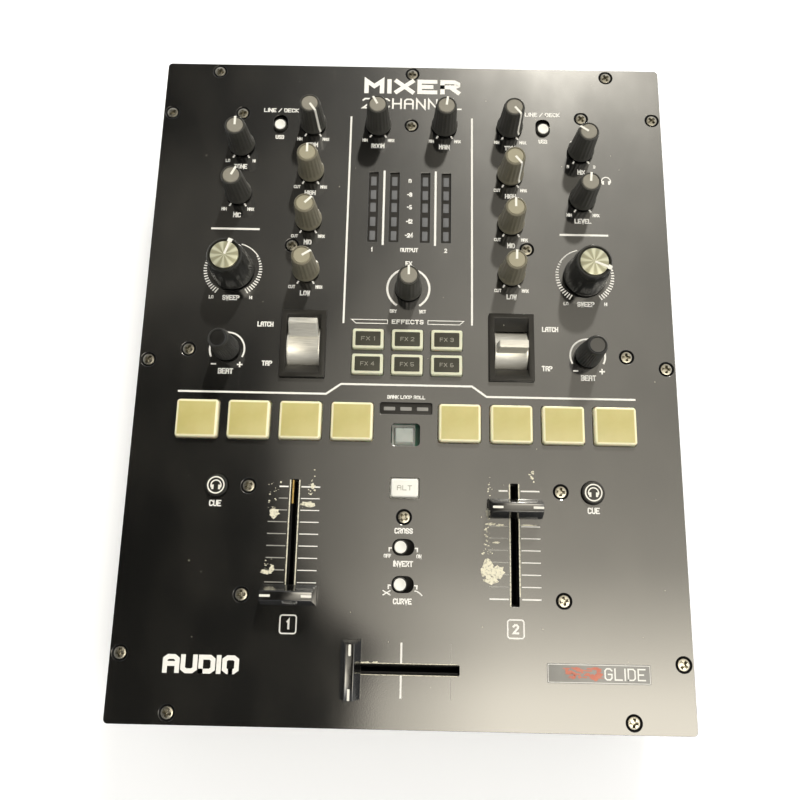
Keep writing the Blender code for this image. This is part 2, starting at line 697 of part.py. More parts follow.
def build_paddles(bench):
    black = finish("bezel_black", (0.03, 0.03, 0.03), 0.35)
    silver = finish("paddle_aluminium", (0.75, 0.74, 0.70), 0.3, 1.0)
    frame = paddle_bezel()
    blade = paddle()
    for channel, side, tilt in ((1, -1, -HOLD_TILT), (2, 1, 0.0)):
        x = side * PADDLE_AT[0]
        bench.place_control(f"channel_{channel}_paddle_bezel", frame, black, (x, BEZEL_Y))
        place = (x, PADDLE_AT[1], PANEL_TOP + PIVOT)
        bench.place(f"channel_{channel}_effect_paddle", blade, silver, place, (tilt, 0.0, 0.0))


def build_power_switch(bench):
    """The key rests tilted to off, 10 degrees from level."""
    black = finish("switch_black", (0.02, 0.02, 0.02), 0.4)
    place = (ROCKER_SWITCH_AT[0], 150.0, ROCKER_SWITCH_AT[1])
    bench.place("power_switch", power_rocker(), black, place, (-10.0, 0.0, 0.0))


def main():
    clear_scene()
    bench = Bench()
    build_case(bench)
    build_knobs(bench)
    build_buttons(bench)
    build_sliders(bench)
    build_faders(bench)
    build_paddles(bench)
    build_power_switch(bench)


main()
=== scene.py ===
"""The looks of a two-channel battle mixer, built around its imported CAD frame.

Lengths here are in millimetres, and MM turns them into metres. Places on the panel are measured from the middle
of its top face: +X to the right, +Y to the rear and +Z up.
"""

import json
import math
import random

import bmesh
import bpy
from mathutils import Matrix, Vector

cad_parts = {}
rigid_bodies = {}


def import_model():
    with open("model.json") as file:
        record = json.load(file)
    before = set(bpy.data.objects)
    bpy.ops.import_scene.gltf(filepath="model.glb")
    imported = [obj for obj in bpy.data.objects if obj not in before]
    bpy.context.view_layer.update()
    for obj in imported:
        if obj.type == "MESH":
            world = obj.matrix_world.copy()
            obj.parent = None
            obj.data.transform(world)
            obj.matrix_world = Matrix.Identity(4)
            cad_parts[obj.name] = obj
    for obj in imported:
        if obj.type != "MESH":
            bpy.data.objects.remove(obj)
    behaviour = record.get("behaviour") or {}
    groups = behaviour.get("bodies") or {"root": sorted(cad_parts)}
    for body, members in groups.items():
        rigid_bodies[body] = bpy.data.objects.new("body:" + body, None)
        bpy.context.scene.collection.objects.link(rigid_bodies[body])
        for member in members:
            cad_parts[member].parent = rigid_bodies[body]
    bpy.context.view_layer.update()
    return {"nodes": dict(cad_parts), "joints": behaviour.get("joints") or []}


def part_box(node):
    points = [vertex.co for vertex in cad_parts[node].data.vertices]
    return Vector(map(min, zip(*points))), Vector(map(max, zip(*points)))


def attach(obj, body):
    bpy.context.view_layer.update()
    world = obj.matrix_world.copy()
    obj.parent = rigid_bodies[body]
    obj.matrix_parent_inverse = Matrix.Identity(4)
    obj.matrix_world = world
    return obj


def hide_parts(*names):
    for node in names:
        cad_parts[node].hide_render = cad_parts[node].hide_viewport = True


MM = 0.001

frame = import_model()
PLATE_LOW, PLATE_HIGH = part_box("top_plate")
PANEL = Vector(((PLATE_LOW.x + PLATE_HIGH.x) / 2, (PLATE_LOW.y + PLATE_HIGH.y) / 2, PLATE_HIGH.z))
PANEL_W, PANEL_D, PLATE = ((PLATE_HIGH - PLATE_LOW) / MM)
GAP = 0.3  # between neighbouring pieces
INK = 0.03  # how far print and wear stand proud of the surface under them
INK_SUNK = -0.02  # and how far they reach into it
INK_STEP, INK_LAYERS = 0.002, 9  # between marks that may overlap
HALF_TURN = 180

# Heights below the panel's top face
BOARD = -17
POT_TOP = -3.6
SWITCH_TOP = -10
SHAFT_LOW = -14

# Panel sizes, the same as in the CAD
KNOB_HOLE_R = 3.8
SHAFT_R = 3
SHAFT = [(SHAFT_R, 0.8), (SHAFT_R, SHAFT_LOW), (0, SHAFT_LOW)]  # the end of a knob's profile
SMALL_KNOB_H = 17.3
FILTER_KNOB_H = 18.5
PAD_SIZE = (19, 17.4)
EFFECT_SIZE = (14.5, 9.5)
SHIFT_SIZE = (12.8, 8.8)
MODE_HOLE = (13, 10.4)
CUE_R = 5
SLIDER_R = 3.2
SLIDER_TRAVEL = 2.5
FADER_AT = (49, -80.2)
FADER_SLOT = (3.4, 53.2)
CROSSFADER_Y = -133.4
CROSSFADER_SLOT = (49.6, 4.2)
METER_X = (-18, -7.7, 7.4, 17.6)
METER_Y = 80
METER_SIZE = (4.6, 37)
LEVELS = {"0": 94, "-3": 86.7, "-6": 80, "-12": 72.5, "-24": 65.2}
MODE_LAMPS_AT = (0, -20.2)
MODE_LAMPS_SIZE = (24, 5.5)
BEZEL_HOLE = (19.8, 30.6)
SCREW_R = 3.5
SCREWS = (
    [(side * 98, end) for side in (-1, 1) for end in (153.3, -152.7)]
    + [(side * 120.2, y) for side in (-1, 1) for y in (129.5, 0.8, -129.1)]
    + [(0, 153.5)]
)
STANDOFFS = [(0, 124.4), (0, -69.4)] + [
    (side * x, y)
    for side in (-1, 1)
    for x, y in ((84.8, 129.8), (56.5, 59), (102, 6.2), (69.8, -56.9), (70, -104))
]
CHANNELS = ((1, -1), (2, 1))  # the channel's number, and its side of the panel
EQ_ROWS = ("high", "mid", "low")
FINISHES = {}

# Rear sockets, by the place of their centres across the case and above the feet
WALL_OUT = PANEL_D / 2 - 1
INLET_AT = (-98, 31)
POWER_AT = (-70, 31)
USB_AT = (-49, 24)
XLR_X = (-22, 9)
XLR_Z = 31
PHONO_X = (36, 51, 66, 81)
PHONO_Z = (22, 40)
MIC_AT = (103, 31)
FLOOR_TO_PANEL = PANEL.z / MM


# ---- places


def on_panel(x, y, z=0):
    return PANEL + Vector((x, y, z)) * MM


def spot(node):
    """Where a node's middle is on the panel, seen from above."""
    low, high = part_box(node)
    middle = ((low + high) / 2 - PANEL) / MM
    return middle.x, middle.y


def both(part):
    """The nodes of a part that each channel has."""
    return [f"channel_{channel}_{part}" for channel, _ in CHANNELS]


def joint_of(body):
    return next(joint for joint in frame["joints"] if joint["child"] == body)


def pointer_turn(body):
    """A knob's range is centred on 12 o'clock, so the middle of its joint's range is where it points."""
    return sum(joint_of(body)["range_deg"]) / 2


SLIDERS = (*both("input_switch"), "reverse_switch", "slope_switch")
PADS = [f"pad_{number}" for number in range(1, 9)]
EFFECT_BUTTONS = [f"effect_button_{number}" for number in range(1, 7)]


# ---- shapes


def link(thing):
    bpy.context.scene.collection.objects.link(thing)


def grown(size, by):
    return size[0] + by, size[1] + by


def hoop(bm, radius, height, steps, wave=None):
    if radius == 0:
        return [bm.verts.new((0, 0, height))] * steps
    made = []
    for step in range(steps):
        angle = 2 * math.pi * step / steps
        reach = radius + (wave(angle, height, radius) if wave else 0)
        made.append(bm.verts.new((reach * math.cos(angle), reach * math.sin(angle), height)))
    return made


def lathe(profile, steps=48, wave=None, closed=False):
    """A turned solid. The profile of (radius, height) points runs from the axis down the outside to the axis."""
    bm = bmesh.new()
    hoops = [hoop(bm, radius, height, steps, wave) for radius, height in profile]
    for upper, lower in zip(hoops, hoops[1:] + hoops[:closed]):
        skin(bm, upper, lower)
    return bm


def ring(profile, steps=48):
    """A turned ring from a closed profile of (radius, height) points."""
    return lathe(profile, steps, closed=True)


def skin(bm, upper, lower):
    for step in range(len(upper)):
        following = (step + 1) % len(upper)
        corners = dict.fromkeys((upper[step], lower[step], lower[following], upper[following]))
        if len(corners) > 2:
            bm.faces.new(corners)


def block(size, low, high, corner=0, edge=0, top=None, at=(0, 0)):
    """A block with round upright corners and a round upper edge, and a smaller top if one is given."""
    bm = bmesh.new()
    bmesh.ops.create_cube(bm, size=1)
    for vertex in bm.verts:
        plan = top if top and vertex.co.z > 0 else size
        vertex.co.x *= plan[0]
        vertex.co.y *= plan[1]
        vertex.co.z = high if vertex.co.z > 0 else low
    if corner:
        upright = [e for e in bm.edges if e.verts[0].co.z != e.verts[1].co.z]
        bmesh.ops.bevel(bm, geom=upright, offset=corner, segments=6, profile=0.5, affect="EDGES")
    if edge:
        rim = [e for e in bm.edges if min(v.co.z for v in e.verts) > high - edge / 2]
        bmesh.ops.bevel(bm, geom=rim, offset=edge, segments=4, profile=0.5, affect="EDGES")
    bmesh.ops.translate(bm, vec=(*at, 0), verts=bm.verts)
    return bm


def prism(outline, half_width):
    """An outline of (y, z) points, extruded both ways along X."""
    bm = bmesh.new()
    face = bm.faces.new([bm.verts.new((-half_width, y, z)) for y, z in outline])
    side = bmesh.ops.extrude_face_region(bm, geom=[face])
    moved = [item for item in side["geom"] if isinstance(item, bmesh.types.BMVert)]
    bmesh.ops.translate(bm, vec=(2 * half_width, 0, 0), verts=moved)
    bmesh.ops.recalc_face_normals(bm, faces=bm.faces)
    return bm


def strip(path, width, depth=0.25):
    """A bar that follows (distance, height) points over a knob in the direction of +Y."""
    bm = bmesh.new()
    sections = []
    for index, point in enumerate(path):
        before = Vector(path[max(index - 1, 0)])
        after = Vector(path[min(index + 1, len(path) - 1)])
        along = (after - before).normalized()
        inner = Vector(point) + Vector((along.y, -along.x)) * depth
        corners = ((-1, Vector(point)), (1, Vector(point)), (1, inner), (-1, inner))
        sections.append([bm.verts.new((side * width / 2, p.x, p.y)) for side, p in corners])
    for upper, lower in zip(sections, sections[1:]):
        skin(bm, upper, lower)
    bm.faces.new(sections[0])
    bm.faces.new(sections[-1])
    return bm


def circle(x, y, radius, points=40):
    angles = [2 * math.pi * i / points for i in range(points)]
    return [(x + radius * math.cos(a), y + radius * math.sin(a)) for a in angles]


def rounded(x, y, size, corner, points=6):
    """A rectangle with round corners, as an outline."""
    outline = []
    for quarter, (sx, sy) in enumerate(((1, 1), (-1, 1), (-1, -1), (1, -1))):
        centre = (x + sx * (size[0] / 2 - corner), y + sy * (size[1] / 2 - corner))
        for step in range(points + 1):
            angle = math.pi / 2 * (quarter + step / points)
            outline.append((centre[0] + corner * math.cos(angle), centre[1] + corner * math.sin(angle)))
    return outline


def sheet(outlines, low, high, edge):
    """A flat plate with slightly rounded rims: the first outline is its own, and the others are holes."""
    curve = bpy.data.curves.new("sheet", "CURVE")
    curve.dimensions = "2D"
    curve.fill_mode = "BOTH"
    curve.extrude = (high - low) / 2 - edge
    curve.bevel_depth = edge
    curve.bevel_resolution = 1
    curve.offset = -edge
    for outline in outlines:
        spline = curve.splines.new("POLY")
        spline.points.add(len(outline) - 1)
        spline.use_cyclic_u = True
        for point, (x, y) in zip(spline.points, outline):
            point.co = (x, y, 0, 1)
    bm = mesh_of(curve)
    bmesh.ops.remove_doubles(bm, verts=bm.verts, dist=edge / 20)
    bmesh.ops.translate(bm, vec=(0, 0, (low + high) / 2), verts=bm.verts)
    return bm


def mesh_of(data, modifiers=()):
    """What a curve, text or mesh looks like to the viewport, with modifiers if any are given."""
    carrier = bpy.data.objects.new("carrier", data)
    link(carrier)
    for name, kind, settings in modifiers:
        modifier = carrier.modifiers.new(name, kind)
        for key, value in settings.items():
            setattr(modifier, key, value)
    evaluated = carrier.evaluated_get(bpy.context.evaluated_depsgraph_get())
    mesh = bpy.data.meshes.new_from_object(evaluated)
    bm = bmesh.new()
    bm.from_mesh(mesh)
    bpy.data.objects.remove(carrier)
    bpy.data.meshes.remove(mesh)
    return bm


def mesh_from(bm):
    mesh = bpy.data.meshes.new("shape")
    bm.to_mesh(mesh)
    bm.free()
    return mesh


def joined(*shapes):
    whole = bmesh.new()
    for bm in shapes:
        mesh = mesh_from(bm)
        whole.from_mesh(mesh)
        bpy.data.meshes.remove(mesh)
    return whole


def solid(operation, first, others):
    """A Boolean of closed shapes."""
    group = bpy.data.collections.new("operands")
    for bm in others:
        group.objects.link(bpy.data.objects.new("operand", mesh_from(bm)))
    settings = {"operation": operation, "operand_type": "COLLECTION", "collection": group}
    made = mesh_of(mesh_from(first), [("Solid", "BOOLEAN", settings)])
    for operand in list(group.objects):
        bpy.data.objects.remove(operand)
    bpy.data.collections.remove(group)
    return made


def fused(first, *others):
    return solid("UNION", first, others)


def carved(first, *cutters):
    return solid("DIFFERENCE", first, cutters)


def softened(bm, width, segments=2, angle=30):
    """The same shape with its sharp edges rounded."""
    bmesh.ops.remove_doubles(bm, verts=bm.verts, dist=width / 50)
    flat = math.radians(1)
    bmesh.ops.dissolve_limit(bm, angle_limit=flat, verts=bm.verts, edges=bm.edges)
    settings = {"width": width, "segments": segments, "limit_method": "ANGLE"}
    settings["angle_limit"] = math.radians(angle)
    return mesh_of(mesh_from(bm), [("Rounded", "BEVEL", settings)])


def shifted(bm, x=0, y=0, z=0):
    bmesh.ops.translate(bm, vec=(x, y, z), verts=bm.verts)
    return bm


def rotated(bm, degrees, axis="Z"):
    bmesh.ops.rotate(bm, matrix=Matrix.Rotation(math.radians(degrees), 3, axis), verts=bm.verts)
    return bm


def facing_rear(bm):
    """Turns a shape that was made facing up so that it faces the rear, with its +Y up."""
    return rotated(rotated(bm, -90, "X"), HALF_TURN, "Y")


def cad_shape(node):
    """A copy of a node's solid in millimetres from the panel's middle."""
    bm = bmesh.new()
    bm.from_mesh(frame["nodes"][node].data)
    bmesh.ops.translate(bm, vec=-PANEL, verts=bm.verts)
    bmesh.ops.scale(bm, vec=(1 / MM,) * 3, verts=bm.verts)
    return bm


def piece(name, bm, finish, slot, body="case", at=PANEL, turn=0, stands_for=(), sharp=35):
    """Puts a finished shape in the scene, on its body; turn is clockwise from above."""
    bmesh.ops.scale(bm, vec=(MM,) * 3, verts=bm.verts)
    bmesh.ops.recalc_face_normals(bm, faces=bm.faces)
    mesh = mesh_from(bm)
    mesh.name = name
    mesh.materials.clear()
    mesh.materials.append(FINISHES[finish])
    mesh.shade_smooth()
    mesh.set_sharp_from_angle(angle=math.radians(sharp))
    made = bpy.data.objects.new(name, mesh)
    link(made)
    made.location = at
    made.rotation_euler.z = -math.radians(turn)
    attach(made, body)
    if stands_for:
        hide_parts(*stands_for)


def control(node, part, bm, finish, slot, turn=0, main=False):
    """A piece of a control that sits on the panel; the main one stands for the whole node."""
    piece(f"{node}_{part}", bm, finish, slot, node, on_panel(*spot(node)), turn, [node] if main else ())


# ---- print


# Letters as pen strokes on a grid four wide and six high: each pair of digits is a point, and "|" lifts the pen.
LETTERS = {
    "A": "00 05 16 36 45 40|03 43",
    "B": "00 06 36 45 44 33 03|33 42 41 30 00",
    "C": "45 36 16 05 01 10 30 41",
    "D": "00 06 36 45 41 30 00",
    "E": "40 00 06 46|03 33",
    "F": "00 06 46|03 33",
    "G": "45 36 16 05 01 10 30 41 43 23",
    "H": "00 06|40 46|03 43",
    "I": "00 06",
    "K": "00 06|46 03 40",
    "L": "06 00 40",
    "M": "00 06 23 46 40",
    "N": "00 06 40 46",
    "O": "20 10 01 05 16 36 45 41 30 20",
    "P": "00 06 36 45 44 33 03",
    "R": "00 06 36 45 44 33 03|23 40",
    "S": "01 10 30 41 42 33 13 04 05 16 36 45",
    "T": "20 26|06 46",
    "U": "06 01 10 30 41 46",
    "V": "06 20 46",
    "W": "06 10 25 30 46",
    "X": "00 46|06 40",
    "Y": "06 23 46|23 20",
    "0": "20 10 01 05 16 36 45 41 30 20",
    "1": "05 16 10",
    "2": "05 16 36 45 44 00 40",
    "3": "05 16 36 45 44 33 13|33 42 41 30 10 01",
    "4": "30 36 02 42",
    "5": "46 06 03 33 42 41 30 10 01",
    "6": "36 16 05 01 10 30 41 42 33 03",
    "-": "03 23",
    "/": "00 46",
}
LETTER_GAP = 1.9  # between letters, on that grid
LETTER_SQUEEZE = 0.84  # of a letter's width, against its height


def clock(x, y, radius, degrees):
    """A point round a centre, by its angle clockwise from 12 o'clock."""
    angle = math.radians(degrees)
    return x + radius * math.sin(angle), y + radius * math.cos(angle)


class Print:
    """Flat marks of ink, or bare patches, that end up as one thin piece."""

    def __init__(self, thickness=INK):
        self.bm = bmesh.new()
        self.thickness = thickness
        self.layer = 0

    def plates(self, outlines):
        """Thin closed plates, a hair higher or lower than the last ones, so that no two faces coincide."""
        self.layer = (self.layer + 1) % INK_LAYERS
        top = self.thickness + INK_STEP * self.layer
        for points in outlines:
            upper = [self.bm.verts.new((x, y, top)) for x, y in points]
            lower = [self.bm.verts.new((x, y, INK_SUNK)) for x, y in points]
            skin(self.bm, upper, lower)
            self.bm.faces.new(upper)
            self.bm.faces.new(lower)

    def line(self, points, width):
        """A line through the points, mitred at its bends."""
        left, right = [], []
        for index, point in enumerate(points):
            here = Vector(point)
            before = (here - Vector(points[index - 1])).normalized() if index else None
            after = (Vector(points[index + 1]) - here).normalized() if index + 1 < len(points) else None
            along = ((before or after) + (after or before)).normalized()
            across = Vector((-along.y, along.x))
            edge = after or before
            reach = width / 2 / max(across.dot(Vector((-edge.y, edge.x))), 0.3)
            left.append(here + across * reach)
            right.append(here - across * reach)
        self.plates((left[i], right[i], right[i + 1], left[i + 1]) for i in range(len(points) - 1))

    def arc(self, x, y, radius, width, start, end, steps=32):
        self.line([clock(x, y, radius, start + (end - start) * i / steps) for i in range(steps + 1)], width)

    def frame(self, x, y, size, corner, width):
        """The outline of a rectangle with round corners."""
        outer = rounded(x, y, size, corner)
        inner = rounded(x, y, grown(size, -2 * width), max(corner - width, 0.05))
        ends = [(i, (i + 1) % len(outer)) for i in range(len(outer))]
        self.plates((outer[i], outer[j], inner[j], inner[i]) for i, j in ends)

    def word(self, text, x, y, height, width=None, weight=0.21):
        """Drawn letters, centred on a place, as high and, if given, as wide as stated."""
        strokes, pen = [], 0
        for letter in text:
            paths = [path.split() for path in LETTERS.get(letter, "").split("|")]
            for path in filter(None, paths):
                strokes.append([(pen + int(point[0]), int(point[1])) for point in path])
            pen += LETTER_GAP + max([int(point[0]) for path in paths for point in path], default=1)
        long = pen - LETTER_GAP
        thick = weight * height
        up = (height - thick) / 6
        over = (width - thick) / long if width else up * LETTER_SQUEEZE
        for stroke in strokes:
            points = [Vector((x + (px - long / 2) * over, y + (py - 3) * up)) for px, py in stroke]
            for end, inner in ((0, 1), (-1, -2)):
                points[end] = points[end] + (points[end] - points[inner]).normalized() * thick / 2
            self.line(points, thick)

    def blotch(self, x, y, size, rng, points=16, ragged=0.3):
        """A ragged patch where the paint has gone."""
        outline = []
        for i in range(points):
            angle = 2 * math.pi * i / points
            reach = 1 + rng.uniform(-ragged, ragged)
            outline.append((x + size[0] / 2 * reach * math.cos(angle), y + size[1] / 2 * reach * math.sin(angle)))
        self.plates([outline])

    def worn_edge(self, start, end, width, rng, even=0.6):
        """A worn band to the left of the way from start to end; even is how wide it is at its narrowest."""
        start, end = Vector(start), Vector(end)
        along = (end - start).normalized()
        across = Vector((-along.y, along.x)) * width
        count = max(2, round((end - start).length / 0.8))
        near = [start + (end - start) * i / count for i in range(count + 1)]
        far = [point + across * rng.uniform(even, 1) for point in near]
        self.plates((near[i], near[i + 1], far[i + 1], far[i]) for i in range(count))


# ---- finishes


class Nodes:
    """Short names for the nodes of a shader tree."""

    def __init__(self, tree):
        self.tree = tree

    def node(self, kind, inputs, **settings):
        made = self.tree.nodes.new(kind)
        for key, value in settings.items():
            setattr(made, key, value)
        for socket, value in inputs.items():
            if isinstance(value, bpy.types.NodeSocket):
                self.tree.links.new(value, made.inputs[socket])
            else:
                made.inputs[socket].default_value = value
        return made

    def between(self, source, low, high, start=0.3, end=0.7, smooth=False):
        """A value that goes from low to high as the source goes from start to end."""
        inputs = {"Value": source, "From Min": start, "From Max": end, "To Min": low, "To Max": high}
        kind = "SMOOTHSTEP" if smooth else "LINEAR"
        return self.node("ShaderNodeMapRange", inputs, interpolation_type=kind).outputs[0]

    def mixed(self, source, first, second):
        inputs = {0: source}
        for socket, value in ((6, first), (7, second)):
            inputs[socket] = value if isinstance(value, bpy.types.NodeSocket) else (*value, 1)
        return self.node("ShaderNodeMix", inputs, data_type="RGBA").outputs[2]

    def maths(self, operation, first, second):
        return self.node("ShaderNodeMath", {0: first, 1: second}, operation=operation).outputs[0]

    def axes(self, source):
        return self.node("ShaderNodeSeparateXYZ", {0: source}).outputs


class Finish(Nodes):
    """A procedural material: a Principled shader and what feeds it."""

    def __init__(self, name, colour, roughness, metallic=0, **sockets):
        self.material = bpy.data.materials.new(name)
        self.material.use_nodes = True
        super().__init__(self.material.node_tree)
        self.shader = self.tree.nodes["Principled BSDF"]
        sockets |= {"Base_Color": (*colour, 1), "Roughness": roughness, "Metallic": metallic}
        for socket, value in sockets.items():
            self.shader.inputs[socket.replace("_", " ")].default_value = value
        self.place = self.tree.nodes.new("ShaderNodeTexCoord").outputs["Object"]

    def noise(self, grain, detail=3, stretch=(1, 1, 1), turn=0):
        """Noise whose features are about grain millimetres across, less along a stretched axis."""
        rotation = (0, 0, math.radians(turn))
        mapping = self.node("ShaderNodeMapping", {"Vector": self.place, "Rotation": rotation, "Scale": stretch})
        inputs = {"Vector": mapping.outputs[0], "Scale": 1 / (grain * MM), "Detail": detail}
        return self.node("ShaderNodeTexNoise", inputs).outputs["Fac"]

    def shade(self, source, first, second, start=0.3, end=0.7, high=1):
        """Colours the surface from the first colour to the second as the source goes from start to end."""
        self.feed(Base_Color=self.mixed(self.between(source, 0, high, start, end), first, second))

    def feed(self, **sources):
        for socket, source in sources.items():
            self.tree.links.new(source, self.shader.inputs[socket.replace("_", " ")])

    def bump(self, source, depth, socket="Normal"):
        made = self.node("ShaderNodeBump", {"Height": source, "Distance": depth * MM, "Strength": 1})
        self.feed(**{socket: made.outputs[0]})
        return self.material


def satin_paint():
    """Powder coat with a gloss: a fine orange peel, finger smudges and long hairline scratches."""
    gloss = {"Specular_IOR_Level": 0.06, "Coat_Weight": 1, "Coat_IOR": 2, "Coat_Roughness": 0.1}
    paint = Finish("satin_black_paint", (0.006, 0.0058, 0.0052), 0.55, **gloss)
    smudges = paint.noise(26, 6, (1, 0.6, 1), 20)
    patches = paint.mixed(paint.between(smudges, 0, 1, 0.42, 0.66), (0.002, 0.002, 0.0018), (0.011, 0.0104, 0.0088))
    hairs = paint.noise(0.35, 1, (1, 0.012, 1), 38)
    paint.shade(hairs, patches, (0.1, 0.096, 0.088), 0.72, 0.8, 0.35)
    paint.feed(Coat_Roughness=paint.between(smudges, 0.075, 0.1))
    return paint.bump(paint.noise(0.7, 2), 0.006, "Coat_Normal")


def print_ink(name, colour, thin):
    """Screen print, rubbed thin in places."""
    ink = Finish(name, colour, 0.45)
    ink.shade(ink.noise(1.6, 4), colour, thin, 0.62, 0.8, 0.35)
    return ink.bump(ink.noise(0.2, 2), 0.004)


def bare_patch():
    """Where the paint is worn through: primer and metal, a little mottled."""
    bare = Finish("worn_bare_metal", (0.74, 0.7, 0.56), 0.5, 0.1)
    mottle = bare.noise(1, 5)
    bare.shade(mottle, (0.42, 0.4, 0.32), (0.78, 0.75, 0.6), 0.36, 0.5)
    bare.feed(Roughness=bare.between(mottle, 0.62, 0.45))
    return bare.bump(mottle, 0.02)


def moulded(name, colour, light, roughness, grain=0.35, depth=0.006, **sockets):
    """Moulded plastic with a fine spark-eroded grain and slightly uneven colour."""
    plastic = Finish(name, colour, roughness, **sockets)
    uneven = plastic.noise(7, 4)
    plastic.shade(uneven, colour, light)
    plastic.feed(Roughness=plastic.between(uneven, roughness - 0.05, roughness + 0.07))
    return plastic.bump(plastic.noise(grain, 2), depth)


def brushed_metal(name, colour, dark, roughness, stretch, grain=0.25, metallic=1):
    """Metal with a directional grain: the noise is drawn out along one axis."""
    metal = Finish(name, colour, roughness, metallic)
    lines = metal.noise(grain, 3, stretch)
    metal.shade(lines, dark, colour)
    metal.feed(Roughness=metal.between(lines, roughness - 0.06, roughness + 0.1))
    return metal.bump(lines, 0.006)


def spun_disc():
    """Aluminium turned on a lathe, with a painted sheen: light and dark wedges fanning out from the middle are painted
    into its colour.
    """
    disc = Finish("spun_aluminium", (0.8, 0.79, 0.62), 0.34, 0.35)
    axes = disc.axes(disc.place)
    around = disc.maths("ARCTAN2", axes["Y"], axes["X"])
    uneven = disc.maths("MULTIPLY", disc.noise(3.5, 1), 1.6)
    fan = disc.maths("SINE", disc.maths("ADD", disc.maths("MULTIPLY", around, 9), uneven), 0)
    grooves = disc.node(
        "ShaderNodeTexWave",
        {"Vector": disc.place, "Scale": 900, "Distortion": 0.6, "Detail": 2},
        wave_type="RINGS",
        rings_direction="Z",
    )
    # painted sheen: light and dark wedges round the middle stand in for the disc's reflections
    sheen_sectors = disc.mixed(disc.between(fan, 0, 1, -0.5, 0.8), (0.36, 0.35, 0.23), (0.66, 0.66, 0.5))
    disc.shade(grooves.outputs["Fac"], sheen_sectors, (0.42, 0.41, 0.32), 0.3, 0.9, 0.15)
    return disc.bump(grooves.outputs["Fac"], 0.003)


def pad_rubber():
    """Silicone gone yellow on top, with a painted highlight: paler towards its thin rounded rim."""
    glow = {"Specular_IOR_Level": 1, "Subsurface_Weight": 0.1, "Subsurface_Scale": 0.003}
    rubber = Finish("pad_rubber", (0.53, 0.47, 0.17), 0.36, **glow)
    cloud = rubber.noise(9, 3)
    face = rubber.mixed(rubber.between(cloud, 0, 1), (0.5, 0.44, 0.155), (0.56, 0.5, 0.2))
    axes = rubber.axes(rubber.place)
    edges = []
    for axis, size in zip("XY", PAD_SIZE):
        from_middle = rubber.maths("ABSOLUTE", axes[axis], 0)
        edges.append(rubber.maths("SUBTRACT", from_middle, size / 2 * MM))
    # painted highlight: the colour turns pale within about a millimetre of the pad's rim
    rubber.shade(rubber.maths("MAXIMUM", *edges), face, (0.93, 0.88, 0.6), -1.3 * MM, -0.8 * MM)
    rubber.feed(Roughness=rubber.between(cloud, 0.3, 0.4))
    return rubber.bump(rubber.noise(0.3, 2), 0.006)


def worn_cap():
    """A fader cap: satin black, rubbed to grey on the skirt where fingers pinch it."""
    black = (0.005, 0.005, 0.0047)
    cap = Finish("fader_cap_black", black, 0.14, Specular_IOR_Level=1, Coat_Weight=0.8, Coat_Roughness=0.1)
    rub = cap.noise(3.2, 5)
    low = cap.between(cap.axes(cap.place)["Z"], 1, 0, 2 * MM, 9 * MM)
    cap.shade(cap.maths("MULTIPLY", rub, low), black, (0.3, 0.28, 0.24), 0.52, 0.6, 0.6)
    cap.feed(Roughness=cap.between(rub, 0.12, 0.22))
    return cap.bump(cap.noise(0.4, 2), 0.005)


def circuit_green():
    """Solder mask over a faint pattern of tracks."""
    board = Finish("solder_mask", (0.006, 0.13, 0.075), 0.35)
    tracks = board.noise(2.2, 1, (1, 0.15, 1))
    board.shade(tracks, (0.005, 0.1, 0.06), (0.012, 0.19, 0.11), 0.48, 0.52)
    return board.bump(tracks, 0.02)


DULL = {"Specular_IOR_Level": 0.25}
PLASTICS = {  # the darker colour, the lighter one, the roughness, and what else differs from the rest
    "knob_black": ((0.033, 0.032, 0.027), (0.044, 0.043, 0.036), 0.5, {}),
    "knob_grey": ((0.15, 0.138, 0.096), (0.18, 0.165, 0.118), 0.52, {}),
    # painted highlight: the two top colours are lighter copies of the knob plastics, standing in for light on the
    # knobs' tops
    "top_black": ((0.23, 0.218, 0.18), (0.27, 0.255, 0.215), 0.4, {}),
    "top_grey": ((0.31, 0.29, 0.205), (0.36, 0.33, 0.24), 0.45, {}),
    "pointer": ((0.8, 0.79, 0.73), (0.88, 0.87, 0.8), 0.4, {"depth": 0.002}),
    "gloss": ((0.018, 0.018, 0.015), (0.026, 0.025, 0.022), 0.2, {"depth": 0.002}),
    "knurled": ((0.018, 0.018, 0.017), (0.026, 0.026, 0.024), 0.48, {}),
    "frosted": ((0.66, 0.64, 0.47), (0.74, 0.72, 0.55), 0.38, {"Subsurface_Weight": 0.1}),
    "inlay": ((0.034, 0.033, 0.022), (0.046, 0.044, 0.03), 0.42, {}),
    "white": ((0.82, 0.82, 0.77), (0.88, 0.88, 0.84), 0.38, {"depth": 0.003}),
    "guide": ((0.33, 0.34, 0.32), (0.4, 0.41, 0.39), 0.3, {"Subsurface_Weight": 0.15}),
    "lamp": ((0.14, 0.143, 0.15), (0.17, 0.173, 0.18), 0.4, DULL),
    "pale_lamp": ((0.24, 0.235, 0.225), (0.29, 0.285, 0.27), 0.4, DULL),
    "lamp_bar": ((0.022, 0.021, 0.019), (0.03, 0.028, 0.026), 0.35, DULL),
    "grey_letters": ((0.3, 0.29, 0.24), (0.36, 0.35, 0.3), 0.45, {}),
    "shadow": ((0.003, 0.003, 0.003), (0.005, 0.005, 0.005), 0.55, DULL),
    "switch_grey": ((0.045, 0.045, 0.042), (0.06, 0.06, 0.056), 0.4, DULL),
    "bezel": ((0.022, 0.021, 0.018), (0.03, 0.028, 0.025), 0.34, DULL),
    "red": ((0.42, 0.02, 0.02), (0.5, 0.035, 0.03), 0.4, {}),
    "rubber": ((0.017, 0.017, 0.017), (0.026, 0.026, 0.025), 0.72, {"grain": 0.6, "depth": 0.02}),
    "worn_red": ((0.5, 0.11, 0.06), (0.62, 0.2, 0.13), 0.38, {}),
    "plaque": ((0.26, 0.255, 0.24), (0.31, 0.305, 0.29), 0.38, {}),
}
